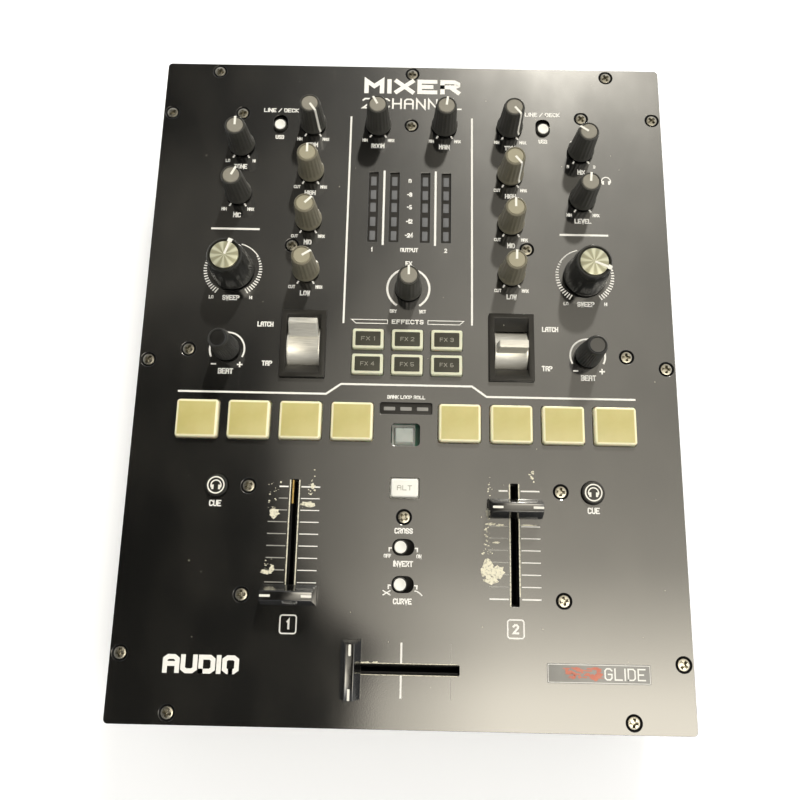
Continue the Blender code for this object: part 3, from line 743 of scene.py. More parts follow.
METALS = {  # the lighter colour, the darker one, the roughness, and the grain's stretch
    "silver": ((0.9, 0.88, 0.8), (0.66, 0.64, 0.57), 0.4, (0.04, 1, 1), {"metallic": 0.6}),
    "screw": ((0.5, 0.475, 0.4), (0.4, 0.38, 0.32), 0.26, (1, 1, 1), {"grain": 0.3}),
    "steel": ((0.62, 0.61, 0.58), (0.42, 0.41, 0.39), 0.3, (1, 1, 0.1), {}),
    "chrome": ((0.86, 0.85, 0.8), (0.76, 0.75, 0.7), 0.16, (1, 1, 1), {}),
    "brass": ((0.8, 0.58, 0.22), (0.58, 0.4, 0.13), 0.28, (1, 0.1, 1), {}),
}


def build_finishes():
    for name, (colour, light, roughness, unlike) in PLASTICS.items():
        FINISHES[name] = moulded(name, colour, light, roughness, **unlike)
    for name, (colour, dark, roughness, stretch, unlike) in METALS.items():
        FINISHES[name] = brushed_metal(name, colour, dark, roughness, stretch, **unlike)
    FINISHES["paint"] = satin_paint()
    FINISHES["ink"] = print_ink("white_print", (0.88, 0.875, 0.84), (0.36, 0.35, 0.33))
    FINISHES["rubbed_ink"] = print_ink("rubbed_print", (0.34, 0.335, 0.31), (0.08, 0.078, 0.07))
    FINISHES["bare"] = bare_patch()
    FINISHES["pad"] = pad_rubber()
    FINISHES["cap"] = worn_cap()
    FINISHES["board"] = circuit_green()
    FINISHES["spun"] = spun_disc()


# ---- the panel


def knob_nodes():
    small = ["room_level", "main_level", "mic_tone", "mic_level", "phones_mix", "phones_level", "effect_mix"]
    equaliser = [f"channel_{channel}_{row}_knob" for channel, _ in CHANNELS for row in EQ_ROWS]
    return [f"{name}_knob" for name in small] + both("trim_knob"), equaliser


def shaft_spots():
    black, grey = knob_nodes()
    others = [f"channel_{channel}_{kind}_knob" for channel, _ in CHANNELS for kind in ("filter", "loop")]
    return [spot(node) for node in black + grey + others]


def slider_slots():
    """(middle, size) of the four small slide switches' slots."""
    clear = 2 * (SLIDER_R + GAP)
    length = clear + SLIDER_TRAVEL
    slots = []
    for node in SLIDERS:
        x, y = spot(node)
        along_y = "input" in node
        middle = (x, y + SLIDER_TRAVEL / 2) if along_y else (x + SLIDER_TRAVEL / 2, y)
        slots.append((middle, (clear, length) if along_y else (length, clear)))
    return slots


def plate_holes():
    holes = [circle(x, y, KNOB_HOLE_R) for x, y in shaft_spots()]
    holes += [rounded(*spot(node), grown(PAD_SIZE, 0.8), 1.6) for node in PADS]
    holes += [rounded(*spot(node), grown(EFFECT_SIZE, 0.6), 1.1) for node in EFFECT_BUTTONS]
    holes += [rounded(x, METER_Y, METER_SIZE, 0.4) for x in METER_X]
    holes += [rounded(*at, size, SLIDER_R) for at, size in slider_slots()]
    holes.append(rounded(*MODE_LAMPS_AT, MODE_LAMPS_SIZE, 0.9))
    holes.append(rounded(*spot("pad_mode_button"), MODE_HOLE, 1.8))
    holes.append(rounded(*spot("shift_button"), grown(SHIFT_SIZE, 0.6), 1.1))
    holes.append(rounded(0, CROSSFADER_Y, CROSSFADER_SLOT, 0.6))
    for channel, side in CHANNELS:
        holes.append(rounded(side * FADER_AT[0], FADER_AT[1], FADER_SLOT, 0.6))
        holes.append(rounded(*spot(f"channel_{channel}_paddle_bezel"), BEZEL_HOLE, 0.4))
        holes.append(circle(*spot(f"channel_{channel}_cue_button"), CUE_R + GAP))
    holes += [circle(x, y, SCREW_R) for x, y in SCREWS + STANDOFFS]
    return holes


def build_plate():
    outline = rounded(0, 0, (PANEL_W, PANEL_D), 2)
    plate = sheet([outline, *plate_holes()], -PLATE, 0, 0.14)
    piece("control_panel", plate, "paint", "case_black", stands_for=["top_plate"], sharp=14)
    seat = [(SCREW_R + 0.1, -0.3), (SCREW_R + 0.1, -PLATE + 0.05), (1.3, -PLATE + 0.05), (1.3, -1.8)]
    seats = joined(*(shifted(ring(seat, 32), x, y) for x, y in SCREWS + STANDOFFS))
    piece("screw_seats", seats, "shadow", "case_black")


def screw_head():
    """A countersunk head with a cross recess."""
    profile = [(0, 0.06), (2, 0.03), (2.5, -0.08), (2.68, -0.36), (2.65, -0.6)]
    profile += [(1.15, -2.2), (1.15, -7), (0, -7)]
    flute = [rotated(block((1.9, 0.6), -1.6, 0.5, top=(4.4, 1.45)), turn) for turn in (0, 90)]
    return carved(lathe(profile, 32), *flute)


def build_screws():
    rng = random.Random(7)
    for index, (x, y) in enumerate(SCREWS + STANDOFFS):
        turn = rng.uniform(0, 90)
        piece(f"panel_screw_{index + 1}", screw_head(), "screw", "case_black", at=on_panel(x, y), turn=turn)


# ---- the print on the panel

NAME_H = 2.5
SMALL_H = 1.7


def print_knob(ink, x, y, name, low, high):
    """The two ticks, the end labels and the name in front of a small knob."""
    for side, text in ((-1, low), (1, high)):
        ink.line([clock(x, y, radius, side * 150) for radius in (6.5, 8.1)], 0.8)
        ink.word(text, x + side * 6.5, y - 8.6, SMALL_H)
    ink.word(name, x, y - 11.7, NAME_H)


def print_filter(ink, x, y):
    """Hatching that widens on its way round to each end of the travel."""
    teeth = 16
    for side in (-1, 1):
        ink.arc(x, y, 13.65, 0.5, side * 14, side * 56)
        for tooth in range(teeth):
            share = tooth / (teeth - 1)
            angle = side * (58 + 88 * share)
            ink.line([clock(x, y, radius, angle) for radius in (13 - 1.6 * share, 14)], 0.62)
    ink.word("SWEEP", x, y - 14, NAME_H)
    for side, text in ((-1, "LO"), (1, "HI")):
        ink.word(text, x + side * 9.4, y - 13.8, SMALL_H)


def print_loop(ink, x, y):
    ink.arc(x, y, 8.1, 0.8, -118, 118, 48)
    ink.line([(x - 7, y - 7.3), (x - 4.6, y - 7.3)], 0.7)
    ink.line([(x + 5.1, y - 7.4), (x + 7.7, y - 7.4)], 0.7)
    ink.line([(x + 6.4, y - 8.7), (x + 6.4, y - 6.1)], 0.7)
    ink.word("BEAT", x, y - 10.6, NAME_H + 0.2)


def print_headphones(ink, x, y, size):
    """A headband and two ear pads."""
    ink.arc(x, y, size, size * 0.24, -118, 118, 20)
    for side in (-1, 1):
        ink.line([(x + side * size * 0.66, y + size * 0.1), (x + side * size * 0.66, y - size * 0.8)], size * 0.42)


def print_knobs(ink):
    for node, words in {
        "room_level": ("ROOM", "MIN", "MAX"),
        "main_level": ("MAIN", "MIN", "MAX"),
        "mic_tone": ("TONE", "LO", "HI"),
        "mic_level": ("MIC", "MIN", "MAX"),
        "phones_mix": ("MIX", "A", "B"),
        "phones_level": ("LEVEL", "MIN", "MAX"),
    }.items():
        print_knob(ink, *spot(f"{node}_knob"), *words)
    for channel, side in CHANNELS:
        for row, words in {
            "trim": ("TRIM", "MIN", "MAX"),
            "high": ("HIGH", "CUT", "MAX"),
            "mid": ("MID", "CUT", "MAX"),
            "low": ("LOW", "CUT", "MAX"),
        }.items():
            print_knob(ink, *spot(f"channel_{channel}_{row}_knob"), *words)
        print_filter(ink, *spot(f"channel_{channel}_filter_knob"))
        print_loop(ink, *spot(f"channel_{channel}_loop_knob"))
        ink.line([(side * 72.5, 67), (side * 96, 67)], 1)
    x, y = spot("effect_mix_knob")
    for side, text in ((-1, "DRY"), (1, "WET")):
        ink.arc(x, y, 10, 1, side * 24, side * 148)
        ink.word(text, x + side * 6.9, y - 11.4, SMALL_H)
    ink.word("FX", x, y + 12.6, NAME_H)
    print_headphones(ink, 96, 95.7, 2.2)


def print_switches(ink):
    for channel, side in CHANNELS:
        x = spot(f"channel_{channel}_input_switch")[0]
        ink.word("LINE / DECK", x, 131.7, 2.2, 17.5)
        ink.word("USB", x, 116.8, 2.2)
        ink.word("LATCH", side * 66.8, 19, NAME_H, 7.6)
        ink.word("TAP", side * 65, 0, NAME_H)
        ink.word("CUE", side * 84.2, -64.9, NAME_H + 0.3, 5.4, 0.19)
    for node, words in {"reverse_switch": ("INVERT", "OFF", "ON"), "slope_switch": ("CURVE", "", "")}.items():
        x, y = spot(node)
        x += SLIDER_TRAVEL / 2
        ink.word(words[0], x, y - 7.1, NAME_H)
        for sign, text in ((-1, words[1]), (1, words[2])):
            ink.line([(x + sign * 5, y - 0.4), (x + sign * 6.2, y - 0.4), (x + sign * 6.2, y - 2)], 0.6)
            if text:
                ink.word(text, x + sign * 6.9, y - 3.8, SMALL_H)
            else:
                bend = 1 if sign < 0 else 2
                share = (0, 0.35, 0.7, 1)
                ink.line([(x + sign * (5.2 + 3.4 * t), y - 2.6 - 2 * t**bend) for t in share], 0.5)
                if sign < 0:
                    ink.line([(x - 8.6, y - 2.6), (x - 5.2, y - 4.6)], 0.5)
    ink.word("CROSS", 0, -75.4, NAME_H)


def print_levels(ink):
    for text, y in LEVELS.items():
        ink.word(text, -0.2, y, 2.3, weight=0.24)
    for x in (-12.8, 12.4):
        ink.line([(x, 60), (x, 99.4)], 1)
    for text, x in (("1", METER_X[0]), ("OUTPUT", 0), ("2", METER_X[3])):
        ink.word(text, x, 57.6, 2.2)
    for side in (-1, 1):
        ink.line([(side * 30.2, 20.2), (side * 30.2, 129)], 0.9)
        bar = [(side * 9.5, 20.4), (side * 24.4, 20.4), (side * 26.4, 22.2), (side * 9.5, 22.2), (side * 9.5, 20.1)]
        ink.line(bar, 0.35)
    ink.word("EFFECTS", 0, 21.4, 2.2, 15)
    half = [(105.2, -14), (36.9, -14), (30.2, -9.2)]
    ink.line(half + [(-x, y) for x, y in reversed(half)], 0.9)
    ink.word("BANK LOOP ROLL", 0, -14.9, 1.7, 17.5)


def print_faders(ink, worn):
    """The scales, whose inner marks are rubbed thin, and the channel numbers."""
    for channel, side in CHANNELS:
        x = side * FADER_AT[0]
        for tick in range(10):
            y = -56.9 - 5.2 * tick
            outer = tick in (0, 9)
            rubbed = 4.4 if tick < 3 and side < 0 or tick == 0 else 0
            for edge in (-1, 1):
                far = 11.3 - (rubbed if edge < 0 else 0)
                layer = ink if outer or edge > 0 else worn
                layer.line([(x + edge * 2.9, y), (x + edge * far, y)], 0.62 if outer else 0.42)
        ink.frame(x, -116, (7.6, 8.2), 1.4, 0.6)
        ink.word(str(channel), x, -116, 4.2)
    ink.line([(0, -122.5), (0, -131.2)], 0.8)
    ink.line([(0, -135.8), (0, -145)], 0.8)
    worn.line([(21.2, -122.5), (21.2, -131.2)], 0.3)
    worn.line([(21.2, -135.8), (21.2, -145)], 0.3)


def print_titles(ink):
    ink.word("MIXER", 0, 146.4, 8.2, 48.5, 0.27)
    ink.word("2 CHANNEL", 0, 136.6, 6, 50, 0.14)
    ink.word("AUDIO", -85.2, -133, 7.6, 32.5, 0.26)


def build_print():
    ink, worn = Print(), Print()
    print_titles(ink)
    print_knobs(ink)
    print_switches(ink)
    print_levels(ink)
    print_faders(ink, worn)
    piece("panel_print", ink.bm, "ink", "case_black")
    piece("rubbed_print", worn.bm, "rubbed_ink", "case_black")
    plaque = sheet([rounded(0, 0, (44, 8), 0.6)], 0, 0.12, 0.04)
    at = on_panel(84, -133.5)
    piece("fader_plaque", plaque, "plaque", "case_black", at=at)
    letters = Print()
    letters.word("GLIDE", 11, 0, 5, 17.5, 0.12)
    letters.frame(0, 0, (43.4, 7.4), 0.5, 0.25)
    flash = Print()
    rng = random.Random(41)
    for _ in range(46):
        place = (rng.uniform(-14, 1), rng.uniform(-2.4, 2.4))
        flash.blotch(*place, (rng.uniform(0.8, 3.4), rng.uniform(0.3, 1.3)), rng, 10, 0.45)
    piece("plaque_flash", shifted(flash.bm, z=0.125), "worn_red", "case_black", at=at)
    piece("plaque_letters", shifted(letters.bm, z=0.12), "ink", "case_black", at=at)


def build_wear():
    """Paint rubbed through beside the faders and along their slots."""
    rng = random.Random(21)
    bare = Print(INK * 1.4)
    top, low = FADER_AT[1] + 26.4, FADER_AT[1] - 26.4
    for _, side in CHANNELS:
        left, right = (side * FADER_AT[0] + edge * (FADER_SLOT[0] / 2 + 0.1) for edge in (-1, 1))
        bare.worn_edge((left, low), (left, top), 0.55, rng, 0.85)
        bare.worn_edge((right, top), (right, low + 4), 0.55, rng, 0.85)
    near, far = (CROSSFADER_Y + edge * (CROSSFADER_SLOT[1] / 2 + 0.1) for edge in (-1, 1))
    bare.worn_edge((24, far), (24 - 45, far), -0.35, rng)
    bare.worn_edge((-10, far), (-19, far), -1, rng, 0.1)
    bare.worn_edge((-21, near), (24, near), -0.3, rng)
    patches = [(-57.7, -69, 4.6, 4), (-42.7, -64.6, 6, 2.6), (-59.6, -94, 5.2, 2), (-57.2, -92.6, 2.2, 2.6)]
    patches += [(37, -91, 5.2, 7.6), (41.2, -92.4, 6.6, 5.6), (38.6, -95.6, 6.6, 3.4), (37.6, -67, 2.6, 5)]
    patches += [(38.4, -71.6, 4.4, 1.4), (42.6, -72, 3.4, 1.2), (55.4, -71.8, 7.4, 0.5), (40.9, -79.6, 3.2, 1)]
    patches += [(-55.4, -55, 0.9, 0.9), (57.4, -48.4, 1.4, 1.6), (57.2, -51, 1, 1), (-41, -56.5, 1.4, 2.6)]
    for x, y, width, depth in patches:
        bare.blotch(x, y, (width, depth), rng)
    for centre, spread, count in (
        ((-58.4, -62), (2.2, 8), 20),
        ((-41, -57), (2, 7), 20),
        ((-59.4, -91), (2.6, 4), 9),
        ((36.8, -79), (2, 9), 34),
        ((57, -50), (1.4, 2.6), 7),
        ((38, -56), (0.9, 6), 12),
    ):
        for _ in range(count):
            x = rng.gauss(centre[0], spread[0] / 2)
            y = rng.gauss(centre[1], spread[1] / 2)
            size = rng.uniform(0.25, 1)
            bare.blotch(x, y, (size, size * rng.uniform(0.5, 1)), rng, points=8)
    for _ in range(46):
        x, y = rng.uniform(-118, 118), rng.uniform(-150, 150)
        size = rng.uniform(0.15, 0.4)
        bare.blotch(x, y, (size, size), rng, points=7)
    piece("worn_patches", bare.bm, "bare", "case_black")


# ---- knobs


def fluted(count, depth, low, high, beyond):
    """A wave round a knob's side, between two heights, where its radius is beyond the one given."""
    return lambda angle, height, radius: (
        depth * math.cos(count * angle) if low < height < high and radius > beyond else 0
    )


def build_small_knobs():
    top = SMALL_KNOB_H
    profile = [(0, top - 0.35), (3.95, top - 0.35), (4.1, top - 0.05), (4.3, top), (4.6, top - 0.1)]
    profile += [(4.85, top - 0.45), (5, top - 1.2), (5.72, 3.4), (5.85, 2.9), (6.35, 2.2), (6.5, 1.7)]
    profile += [(6.5, 1.1), (6.3, 0.8), *SHAFT]
    mark = [(0.2, top + 0.08), (4.35, top + 0.08), (4.8, top - 0.17), (5.12, top - 1.22), (5.86, 3.3)]
    mark += [(6, 2.85), (6.42, 2.3), (6.6, 1.7), (6.6, 1.2)]
    black, grey = knob_nodes()
    for node in black + grey:
        kind = "grey" if node in grey else "black"
        slot, turn = f"knob_{kind}", pointer_turn(node)
        body = lathe(profile, 108, fluted(18, 0.13, 2.6, top - 1, 4.9))
        control(node, "body", body, slot, slot, turn, True)
        # painted highlight: the top disc takes a lighter copy of the body's plastic, for the light on the knob's top
        disc = lathe([(0, top), (3.6, top - 0.02), (3.9, top - 0.3), (0, top - 0.6)])
        control(node, "top", disc, f"top_{kind}", slot, turn)
        control(node, "pointer", strip(mark, 1.05), "pointer", slot, turn)


def build_filter_knobs():
    top = FILTER_KNOB_H - 0.25
    profile = [(0, top - 1), (7.05, top - 1), (7.1, top - 0.3), (7.3, top - 0.05), (7.7, top), (8.1, top - 0.3)]
    profile += [(8.4, top - 1.1), (8.9, 14), (9.5, 8), (10, 3.2), (10.25, 1.9), (10.3, 1.2), (10.1, 0.8), *SHAFT]
    for node in both("filter_knob"):
        turn = pointer_turn(node)
        body = lathe(profile, 84, fluted(14, 0.1, 1.5, top - 1, 8))
        control(node, "body", body, "gloss", "knob_gloss", turn, True)
        disc = lathe([(0, top), (6.1, top), (6.4, top - 0.12), (6.45, top - 1.1), (0, top - 1.1)], 64)
        control(node, "disc", disc, "spun", "knob_gloss", turn)
        needle = strip([(0.3, top + 0.12), (6.6, top + 0.12)], 1, 0.2)
        end = strip([(6.4, top + 0.2), (7.7, top + 0.22), (8.25, top - 0.15), (8.55, top - 1.2)], 2.1)
        side = strip([(8.4, top - 1.1), (9, 14), (9.6, 8), (10.1, 3.2), (10.35, 1.9)], 0.8)
        control(node, "pointer", joined(needle, end, side), "pointer", "knob_gloss", turn)


def build_loop_knobs():
    low, top = 1.7, 18
    profile = [(0, top - 0.35), (3.6, top - 0.35), (3.75, top - 0.05), (4.1, top), (4.5, top - 0.5), (4.65, top - 1)]
    profile += [(5, 13), (5.4, 7), (5.85, 2.6), (6, low), (2.4, low), (2.4, 13.9), (0, 13.9)]
    for node in both("loop_knob"):
        body = lathe(profile, 180, fluted(30, 0.16, low + 0.6, top - 0.8, 4.6))
        control(node, "body", body, "knurled", "knob_knurled", main=True)
        disc = lathe([(0, top - 0.02), (3.3, top - 0.04), (3.5, top - 0.2), (3.5, top - 0.6), (0, top - 0.6)])
        control(node, "top", disc, "cap", "knob_knurled")
        shaft = lathe([(0, 13.6), (1.7, 13.6), (2, 13.3), (2, 1.4), (SHAFT_R, 1.2), *SHAFT[1:]], 32)
        control(node.replace("knob", "encoder"), "shaft", shaft, "steel", "encoder_steel", main=True)


# ---- buttons and switches


def plunger(travel):
    """What reaches down from a button to its switch."""
    return block((4, 4), SWITCH_TOP + travel + GAP, -4, 0.4)


def key_cap(size, top, corner, edge, flange, travel):
    """A cap over a flange that keeps it in, and a plunger over its switch."""
    collar = block(grown(size, 2 * flange), -4.6, -PLATE - 2 * GAP, 0.4)
    return fused(block(size, -3.2, top, corner, edge), collar, plunger(travel))


def lettering(text, height, width, z):
    letters = Print()
    letters.word(text, 0, 0, height, width, 0.13)
    return shifted(letters.bm, z=z)


def build_keys():
    for node in PADS:
        control(node, "cap", key_cap(PAD_SIZE, 2.5, 1.5, 0.95, 1.1, 1.5), "pad", "pad_cream", main=True)
    for number, node in enumerate(EFFECT_BUTTONS, 1):
        control(node, "cap", key_cap(EFFECT_SIZE, 2.2, 1, 0.5, 0.9, 0.8), "frosted", "button_frosted", main=True)
        control(node, "inlay", block((11.7, 6.9), 2, 2.28, 0.5, 0.08), "inlay", "button_frosted")
        control(node, "letters", lettering(f"FX {number}", 1.9, 6.4, 2.28), "grey_letters", "button_frosted")


def build_other_buttons():
    wide, foot = CUE_R + 1.2, SWITCH_TOP + 1.1
    profile = [(0, 1.7), (3.05, 1.7), (3.15, 1.9), (4.5, 1.9), (CUE_R, 1.4), (CUE_R, -2.6), (wide, -2.6)]
    profile += [(wide, -4.6), (2, -4.6), (2, foot), (0, foot)]
    for node in both("cue_button"):
        control(node, "cap", lathe(profile), "gloss", "button_white", main=True)
        control(node, "ring", ring([(3.3, 1.86), (3.3, 2), (3.9, 2), (3.9, 1.86)]), "pointer", "button_white")
        icon = Print()
        print_headphones(icon, 0, -0.1, 2.25)
        control(node, "icon", shifted(icon.bm, z=1.7), "pointer", "button_white")
    cap = key_cap(grown(SHIFT_SIZE, -0.7), 2, 1, 0.7, 1.4, 0.8)
    control("shift_button", "cap", cap, "white", "button_white", main=True)
    control("shift_button", "letters", lettering("ALT", 2.2, 6.6, 2), "grey_letters", "button_white")
    guide = block((10.2, 8.8), -4, -0.4, 0.7, 0.35, top=(7.8, 6.4), at=(-0.6, -0.2))
    guide = fused(guide, block((10.6, 10.2), -4.8, -3.4, 0.5, at=(-0.9, 0)), plunger(0.8))
    control("pad_mode_button", "guide", guide, "guide", "button_white", main=True)
    daughter = carved(block((17, 13), -7.2, -6.2, 0.6), block((5, 5), -9, 0))
    at = on_panel(*spot("pad_mode_button"))
    piece("mode_button_board", daughter, "board", "circuit_green", at=at)


def build_sliders():
    profile = [(0, 1.1), (2.75, 1.1), (2.85, 1.35), (SLIDER_R, 1), (SLIDER_R, -6.6), (0.9, -6.6), (0.9, -12), (0, -12)]
    for node, (middle, size) in zip(SLIDERS, slider_slots()):
        control(node, "actuator", lathe(profile), "knob_black", "slider_white", main=True)
        button = lathe([(0, 1.35), (1.7, 1.4), (2.3, 1.6), (2.6, 1.5), (2.7, 1), (0, 1)])
        control(node, "button", button, "white", "slider_white")
        well = block(grown(size, 1.6), -13.5, -PLATE - 0.1, 1)
        clear = carved(well, block(grown(size, 0.1), -12.6, 1, SLIDER_R))
        piece(f"{node}_body", clear, "switch_grey", "circuit_green", at=on_panel(*middle))


# ---- faders


def cap_shape():
    """A pinched cap, long along X, with a finger groove between two ridges on top."""
    half = [(4.3, 1.4), (4.3, 2.9), (4, 3.4), (2.2, 11.2), (2, 11.75), (1.75, 12), (1.4, 11.92), (0.8, 11.88)]
    bm = prism(half + [(-y, z) for y, z in reversed(half)], 11.9)
    for vertex in bm.verts:
        vertex.co.x *= 1 - 0.072 * max(0, (vertex.co.z - 3) / 9)
    return softened(bm, 0.22)


def build_caps():
    for node in (*both("fader_cap"), "crossfader_cap"):
        turn = 90 if node == "crossfader_cap" else 0
        control(node, "grip", cap_shape(), "cap", "cap_black", turn, True)
        control(node, "blade", block((1, 4.5), -12, 1.6, 0.2), "steel", "fader_steel", turn)
        index = joined(*(block((4.5, 1), 11.5, 11.97, 0.2, at=(side * 8.7, 0)) for side in (-1, 1)))
        control(node, "index", index, "pointer", "cap_black", turn)


def fader_guide(size, low, high, slot):
    """A long housing with an open slot for the cap's blade."""
    return carved(block(size, low, high, 0.6, 0.3), block(slot, low + 2, high + 5, 0.3))


def build_fader_guides():
    for channel, side in CHANNELS:
        guide = fader_guide((12, 76), BOARD, -5, (2.6, 52))
        at = on_panel(side * FADER_AT[0], FADER_AT[1])
        piece(f"channel_{channel}_fader_guide", guide, "shadow", "circuit_green", at=at)
    contact = block((0.7, 10.5), -5, -1.6, 0.2, at=(-0.93, 0))
    piece("channel_1_contact_strip", contact, "brass", "fader_steel", at=on_panel(-FADER_AT[0], -59))
    slot = (50.4, 2.6)
    ears = carved(block((92, 16), -4.5, -PLATE - GAP, 0.8), block(slot, -9, 1, 0.3))
    unit = joined(fader_guide((74, 14), -18, -4, slot), ears)
    at = on_panel(0, CROSSFADER_Y)
    piece("crossfader_unit", unit, "shadow", "fader_steel", at=at, stands_for=["crossfader_module"])


# ---- effect paddles


def paddle_shape():
    """A drum with two raised rims, and a blade on top, about a pivot along X."""

    def half_disc(radius, half_width, x=0):
        angles = [math.radians(-5 + 190 * i / 40) for i in range(41)]
        outline = [(radius * math.cos(a), radius * math.sin(a)) for a in angles]
        return shifted(prism(outline, half_width), x)

    def axle(radius, half_width, steps):
        profile = [(0, half_width), (radius, half_width), (radius, -half_width), (0, -half_width)]
        return rotated(lathe(profile, steps), 90, "Y")

    rims = [half_disc(10.5, 0.4, side * 7.2) for side in (-1, 1)]
    blade = block((14.2, 5), 7, 18, 0.6, 0.5, top=(13.4, 3.8))
    return softened(fused(half_disc(10.2, 7.1), *rims, blade, axle(3.2, 7.6, 24), axle(1.5, 8.4, 16)), 0.16, 2, 40)


def build_paddles():
    for channel, _ in CHANNELS:
        bezel = f"channel_{channel}_paddle_bezel"
        piece(f"{bezel}_frame", softened(cad_shape(bezel), 0.28, 3), "bezel", "bezel_black", stands_for=[bezel])
        node = f"channel_{channel}_effect_paddle"
        blade = rotated(paddle_shape(), -36 if channel == 1 else 0, "X")  # the left one rests latched
        at = Vector(joint_of(node)["pos_m"])
        piece(f"{node}_blade", blade, "silver", "paddle_aluminium", node, at, stands_for=[node])
        well = carved(block((19, 29.6), -16.7, -15.8, 0.4), block((3, 3), -18, -8))
        piece(f"channel_{channel}_paddle_well", well, "shadow", "bezel_black", at=on_panel(*spot(bezel)))


# ---- lamps and boards


def build_lamps():
    for index, x in enumerate(METER_X):
        at = on_panel(x, METER_Y)
        bar = block(grown(METER_SIZE, -0.1), -1.95, -0.75, 0.3, 0.1)
        piece(f"meter_bar_{index + 1}", bar, "lamp_bar", "circuit_green", at=at)
        lamps = joined(*(block((2.7, 4.8), -0.9, -0.55, 0.3, 0.12, at=(0, y - METER_Y)) for y in LEVELS.values()))
        piece(f"meter_lamps_{index + 1}", lamps, "lamp", "circuit_green", at=at)
    at = on_panel(*MODE_LAMPS_AT)
    bar = block(grown(MODE_LAMPS_SIZE, -0.1), -1.95, -0.85, 0.8, 0.1)
    piece("mode_lamp_bar", bar, "lamp_bar", "circuit_green", at=at)
    lamps = joined(*(block((5.2, 1.7), -0.95, -0.7, 0.3, 0.1, at=(x, 0)) for x in (-7.6, 0, 7.6)))
    piece("mode_lamps", lamps, "pale_lamp", "circuit_green", at=at)


def build_control_board():
    board = block((224, 252.5), BOARD - 1.6, BOARD, 2, at=(0, 7.25))
    piece("main_circuit_board", board, "board", "circuit_green", stands_for=["control_board"])
    pot = [(SHAFT_R + 0.4, POT_TOP), (5.2, POT_TOP), (5.2, BOARD), (SHAFT_R + 0.4, BOARD)]
    pots = joined(*(shifted(ring(pot, 24), x, y) for x, y in shaft_spots()))
    piece("pot_bushings", pots, "steel", "circuit_green")
    keys = (*PADS, *EFFECT_BUTTONS, "pad_mode_button", "shift_button", *both("cue_button"))
    tact = joined(*(block((6, 6), BOARD, SWITCH_TOP, 0.4, 0.3, at=spot(node)) for node in keys))
    piece("tact_switches", tact, "shadow", "circuit_green")
    post = [(0, -PLATE - GAP), (2.8, -PLATE - GAP), (2.8, BOARD), (0, BOARD)]
    posts = joined(*(shifted(lathe(post, 6), x, y) for x, y in STANDOFFS))
    piece("panel_standoffs", posts, "brass", "circuit_green")


# ---- case, feet and rear sockets


def rear_point(x, z, out=0):
    """A place on the tray's rear wall, by its distance from the middle and its height over the feet."""
    return on_panel(x, WALL_OUT + out, z - FLOOR_TO_PANEL)


def rear_piece(name, bm, finish, at):
    """A piece of a socket: made facing up, and turned to the rear."""
    piece(name, facing_rear(bm), finish, "socket_dark", at=rear_point(*at))


def build_case():
    tray = softened(cad_shape("base_tray"), 0.3)
    piece("case_tray", tray, "paint", "case_black", stands_for=["base_tray"], sharp=14)
    for node in (f"foot_{end}_{hand}" for end in ("front", "rear") for hand in ("left", "right")):
        low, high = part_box(node)
        tall = (high.z - low.z) / MM
        profile = [(3, tall), (9, tall), (9, 1.4), (8.7, 0.5), (8.2, 0), (4.4, 0), (4, 0.3), (3.6, 2.4), (3, 2.4)]
        at = Vector(((low.x + high.x) / 2, (low.y + high.y) / 2, low.z))
        piece(f"{node}_pad", ring(profile), "rubber", "foot_rubber", at=at, stands_for=[node])
        screw = shifted(rotated(screw_head(), HALF_TURN, "X"), z=2.6)
        piece(f"{node}_screw", screw, "screw", "case_black", at=at)


def build_power():
    """The mains inlet, three blades in a shroud, and the rocker switch beside it."""
    body = carved(block((27, 20), -22, 0.8, 1.5, 0.4), block((22, 14.6), -15.5, 5, 2.2))
    rear_piece("mains_inlet", body, "shadow", INLET_AT)
    blades = joined(*(block((2, 4), -16, -2, 0.2, 0.4, at=at) for at in ((-7, -1.5), (0, 2), (7, -1.5))))
    rear_piece("mains_blades", blades, "steel", INLET_AT)
    housing = carved(block((14.6, 23), -20, 0.8, 1, 0.4), block((11, 20.4), -14.5, 5, 0.6))
    rear_piece("power_switch_housing", housing, "shadow", POWER_AT)
    key = softened(cad_shape("power_switch"), 0.35, 3)
    piece("power_switch_key", key, "gloss", "switch_black", "power_switch", stands_for=["power_switch"])


def build_round_sockets():
    for index, x in enumerate(XLR_X):
        shell = ring([(9.4, 0.8), (11.6, 0.8), (11.6, -8), (9.4, -8)])
        collar = joined(shell, lathe([(0, -10.4), (11.6, -10.4), (11.6, -12), (0, -12)]))
        flange = sheet([rounded(0, 0, (26, 29), 2.5), circle(0, 0, 11.7)], 0.02, 0.8, 0.2)
        rear_piece(f"balanced_output_{index + 1}", joined(collar, flange), "bezel", (x, XLR_Z))
        pins = []
        for angle in map(math.radians, (-90, 30, 150)):
            pin = lathe([(0, -1.6), (0.8, -1.9), (1.2, -2.6), (1.2, -11), (0, -11)], 20)
            pins.append(shifted(pin, 4.2 * math.cos(angle), 4.2 * math.sin(angle)))
        rear_piece(f"balanced_pins_{index + 1}", joined(*pins), "steel", (x, XLR_Z))
    for column, x in enumerate(PHONO_X):
        for row, z in enumerate(PHONO_Z):
            name = f"phono_{column + 1}_{row + 1}"
            barrel = [(3.2, 9), (4.15, 9), (4.2, 8.6), (4.2, 0.6), (5.6, 0.6), (5.6, 0.02), (3.2, -3)]
            rear_piece(f"{name}_barrel", ring(barrel, 32), "chrome", (x, z))
            core = ring([(1.7, 8.4), (3.1, 8.4), (3.1, -3), (1.7, -3)], 32)
            rear_piece(f"{name}_core", core, "white" if row else "red", (x, z))


